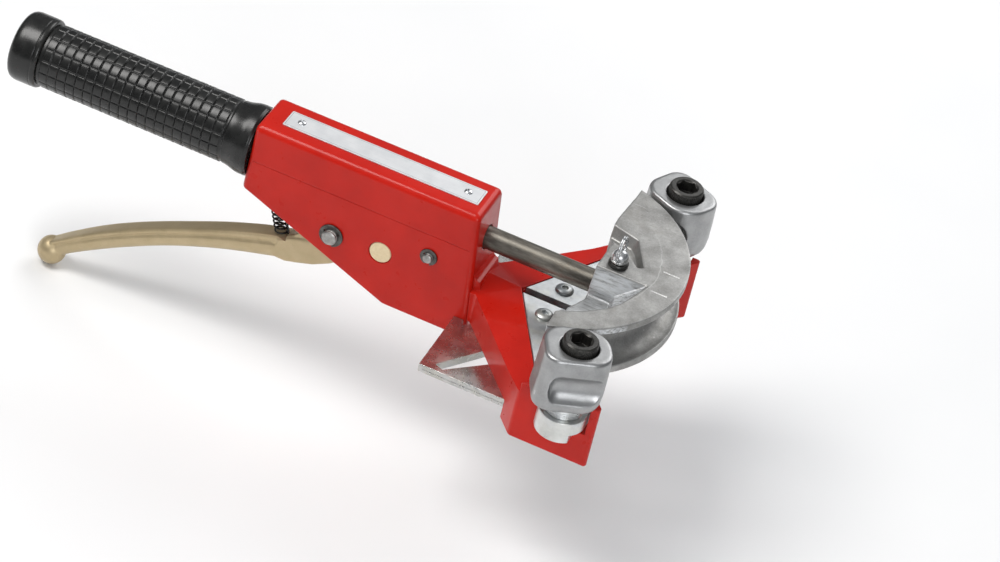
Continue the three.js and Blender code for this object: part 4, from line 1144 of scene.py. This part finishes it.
# the cheeks swell from the head to the arm over a soft shoulder
cheek_side = [(-97, -46), (-103, -50), (-104, -60.6), (-97, -61.0), (-88, -58.2), (-86, -44)]
cheek = hull([(x, y, z) for x, z in cheek_side for y in (-6.1, 6.1)]
             + [(x, y, z) for x, z in [(-82, -40), (-82, -56)] for y in (-4.9, 4.9)])
# arm stations: x, z, half depth, half width, lean in degrees
stations = [
    (-92, -52.0, 6.6, 5.0, 10), (-98, -54.2, 7.4, 5.9, 12), (-110, -57.9, 7.4, 6.2, 17),
    (-121, -61.6, 7.0, 6.2, 21), (-134, -66.4, 6.5, 6.1, 23), (-150, -73.2, 6.0, 5.8, 25),
    (-168, -81.6, 5.8, 5.6, 28), (-186, -91.3, 5.8, 5.6, 30), (-200, -99.8, 5.6, 5.4, 32),
    (-214, -109.3, 5.2, 5.1, 34), (-224, -116.8, 4.9, 4.8, 36)]
# half of the arm's section, as shares of half width and half depth:
# rounded belly, a shallow flute along the flank and a raised bead along the back
section = [(0.0, -1.0), (0.42, -0.94), (0.74, -0.74), (0.94, -0.42), (1.0, -0.08), (0.95, 0.22),
           (0.80, 0.40), (0.76, 0.52), (0.88, 0.62), (0.92, 0.80), (0.80, 0.96), (0.45, 1.0)]
section += [(-across, up) for across, up in section[:0:-1]]
rings = []
for spine, size in zip(catmull([s[:3] for s in stations], 6),
                       catmull([(*s[3:], 0) for s in stations], 6)):
    lean = math.radians(size.y)
    up_x, up_z = -math.sin(lean), math.cos(lean)
    rings.append([(spine.x + up_x * up * spine.z, across * size.x,
                   spine.y + up_z * up * spine.z) for across, up in section])
verts, faces, ends = loft(rings)
arm = solid(verts, ends + faces)
BALL_R = 7.8
ball = lathe([(-BALL_R * math.cos(math.pi * k / 24),
               BALL_R * math.sin(math.pi * k / 24) if 0 < k < 24 else 0) for k in range(25)],
             "x", segments=48)
ball.data.transform(Matrix.Translation((-226.6, 0, -120.2)))
boole(lever, boss, cheek, arm, ball, op="UNION")
cast(lever, voxel=0.36, passes=10, factor=0.65)
boole(lever, bar("y", 4.06, -20, 20, PIVOT), block(-90, -50, -5.6, 5.6, -19.6, 0),
      bar("y", 1.55, -20, 20, DRIVE, 32), block(-110, -98.5, -8, 8, -48.5, -40))
piece(lever, "trigger_lever_casting", "trigger_lever", GOLD, "lever", sharp=50, weighted=False)

# ------------------------------------------------------------------ springs
SPRING_FOOT, SPRING_LEAN = -47.9, 0.345


def row_point(x, z):
    return ((x + SHIFT.x) * MM, 0, (z + SHIFT.z) * MM)


spring = coil("z", 3.6, 0.5, SPRING_FOOT, -27.6, 9, (-103.3, 0))
for v in spring.data.vertices:
    v.co.x -= (v.co.z - SPRING_FOOT) * SPRING_LEAN      # it leans back between its two seats
piece(spring, "lever_return_coil", "lever_return_spring", SPRING, body=None, weighted=False)
# it bends and shortens between its upper seat in the housing and its lower seat on the lever
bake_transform(spring, "frame", "lever", start=row_point(-110.0, -28.6), end=row_point(-103.6, -47.1))
spring = coil("y", 2.35, 0.38, 2.75, 5.1, 3, DRIVE, steps=24, sides=8, closed_turns=0.2)
piece(spring, "drive_pawl_coil", "drive_pawl_spring", SPRING, "lever", weighted=False)
spring = coil("y", 3.5, 0.45, 4.7, 10.2, 5, HOLD, steps=24, sides=8, closed_turns=0.3)
piece(spring, "holding_pawl_coil", "holding_pawl_spring", SPRING, weighted=False)

# CAD pieces that keep their mesh and take a finish
for node in ("drive_pawl_pin", "drive_pawl", "holding_pawl"):
    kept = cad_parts[node]
    kept.data.materials.clear()
    kept.data.materials.append(STEEL_Y[0])

# ------------------------------------------------------------------ floor and world, in metres
FLOOR_Z, FLOOR_HALF = CAD_LO.z - 0.0006, 6
floor_mesh = bpy.data.meshes.new("floor")
floor_mesh.from_pydata([(x, y, FLOOR_Z) for x, y in rect(-FLOOR_HALF, FLOOR_HALF, -FLOOR_HALF,
                                                         FLOOR_HALF)], [], [(0, 1, 2, 3)])
floor = bpy.data.objects.new("floor", floor_mesh)
scene.collection.objects.link(floor)
paper = Material("floor_paper")
paper.two_tone(paper.noise(scale=0.004, detail=3), (0.86, 0.865, 0.87), (0.90, 0.90, 0.90),
               span=MID)
paper.bump(paper.noise(scale=0.8, detail=4), strength=0.05, depth=0.05)
floor_mesh.materials.append(paper.finish(rough=0.85, spec=0.2))

# the world brightens from below to overhead
world = bpy.data.worlds.new("studio")
scene.world = world
world.use_nodes = True
nodes, links = world.node_tree.nodes, world.node_tree.links
nodes.clear()
output, background, coordinates, split, ramp = (nodes.new("ShaderNode" + kind) for kind in (
    "OutputWorld", "Background", "TexCoord", "SeparateXYZ", "ValToRGB"))
links.new(coordinates.outputs["Generated"], split.inputs[0])
links.new(split.outputs[2], ramp.inputs[0])
links.new(ramp.outputs[0], background.inputs[0])
links.new(background.outputs[0], output.inputs[0])
stops = ramp.color_ramp.elements
stops[0].position, stops[0].color = 0.0, (0.30, 0.31, 0.33, 1)
stops[1].position, stops[1].color = 1.0, (0.95, 0.97, 1.0, 1)
stops.new(0.35).color = (0.42, 0.43, 0.45, 1)
background.inputs["Strength"].default_value = 0.42


# ------------------------------------------------------------------ lights and camera, in metres
def area(name, at, target, size, power, color=(1, 1, 1), size_y=None):
    light = bpy.data.lights.new(name, "AREA")
    light.energy, light.size, light.color = power, size, color
    if size_y:
        light.shape, light.size_y = "RECTANGLE", size_y
    lamp = bpy.data.objects.new(name, light)
    scene.collection.objects.link(lamp)
    lamp.location = at
    lamp.rotation_euler = (Vector(target) - Vector(at)).to_track_quat("-Z", "Y").to_euler()


area("key", at=(-0.75, -0.35, 1.50), target=(-0.05, 0, 0.0), size=0.75, power=21.0,
     color=(1.0, 0.985, 0.965), size_y=1.0)
area("fill", at=(0.75, -1.45, 0.80), target=(0.0, 0, 0.03), size=0.8, power=11.0,
     color=(0.97, 0.985, 1.0))
area("rim", at=(0.35, 1.25, 0.95), target=(0.0, 0, 0.03), size=1.0, power=10.0)

lens = bpy.data.cameras.new("camera")
camera = bpy.data.objects.new("camera", lens)
scene.collection.objects.link(camera)
lens.sensor_width, lens.lens = 36.0, 151.2
lens.clip_start, lens.clip_end = 0.05, 30.0
# the camera's own axes, and its place from the ram axis
right = Vector((0.9055, 0.3778, 0.1932))
down = Vector((0.3789, -0.5148, -0.7690))
forward = Vector((-0.1911, 0.7695, -0.6093))
turned = Matrix((right, -down, -forward)).transposed()
spot = Vector((0.42127, -1.63479, 1.27142)) + SHIFT * MM
camera.matrix_world = Matrix.Translation(spot) @ turned.to_4x4()
scene.camera = camera
scene.view_settings.view_transform = "Standard"
scene.view_settings.look = "None"
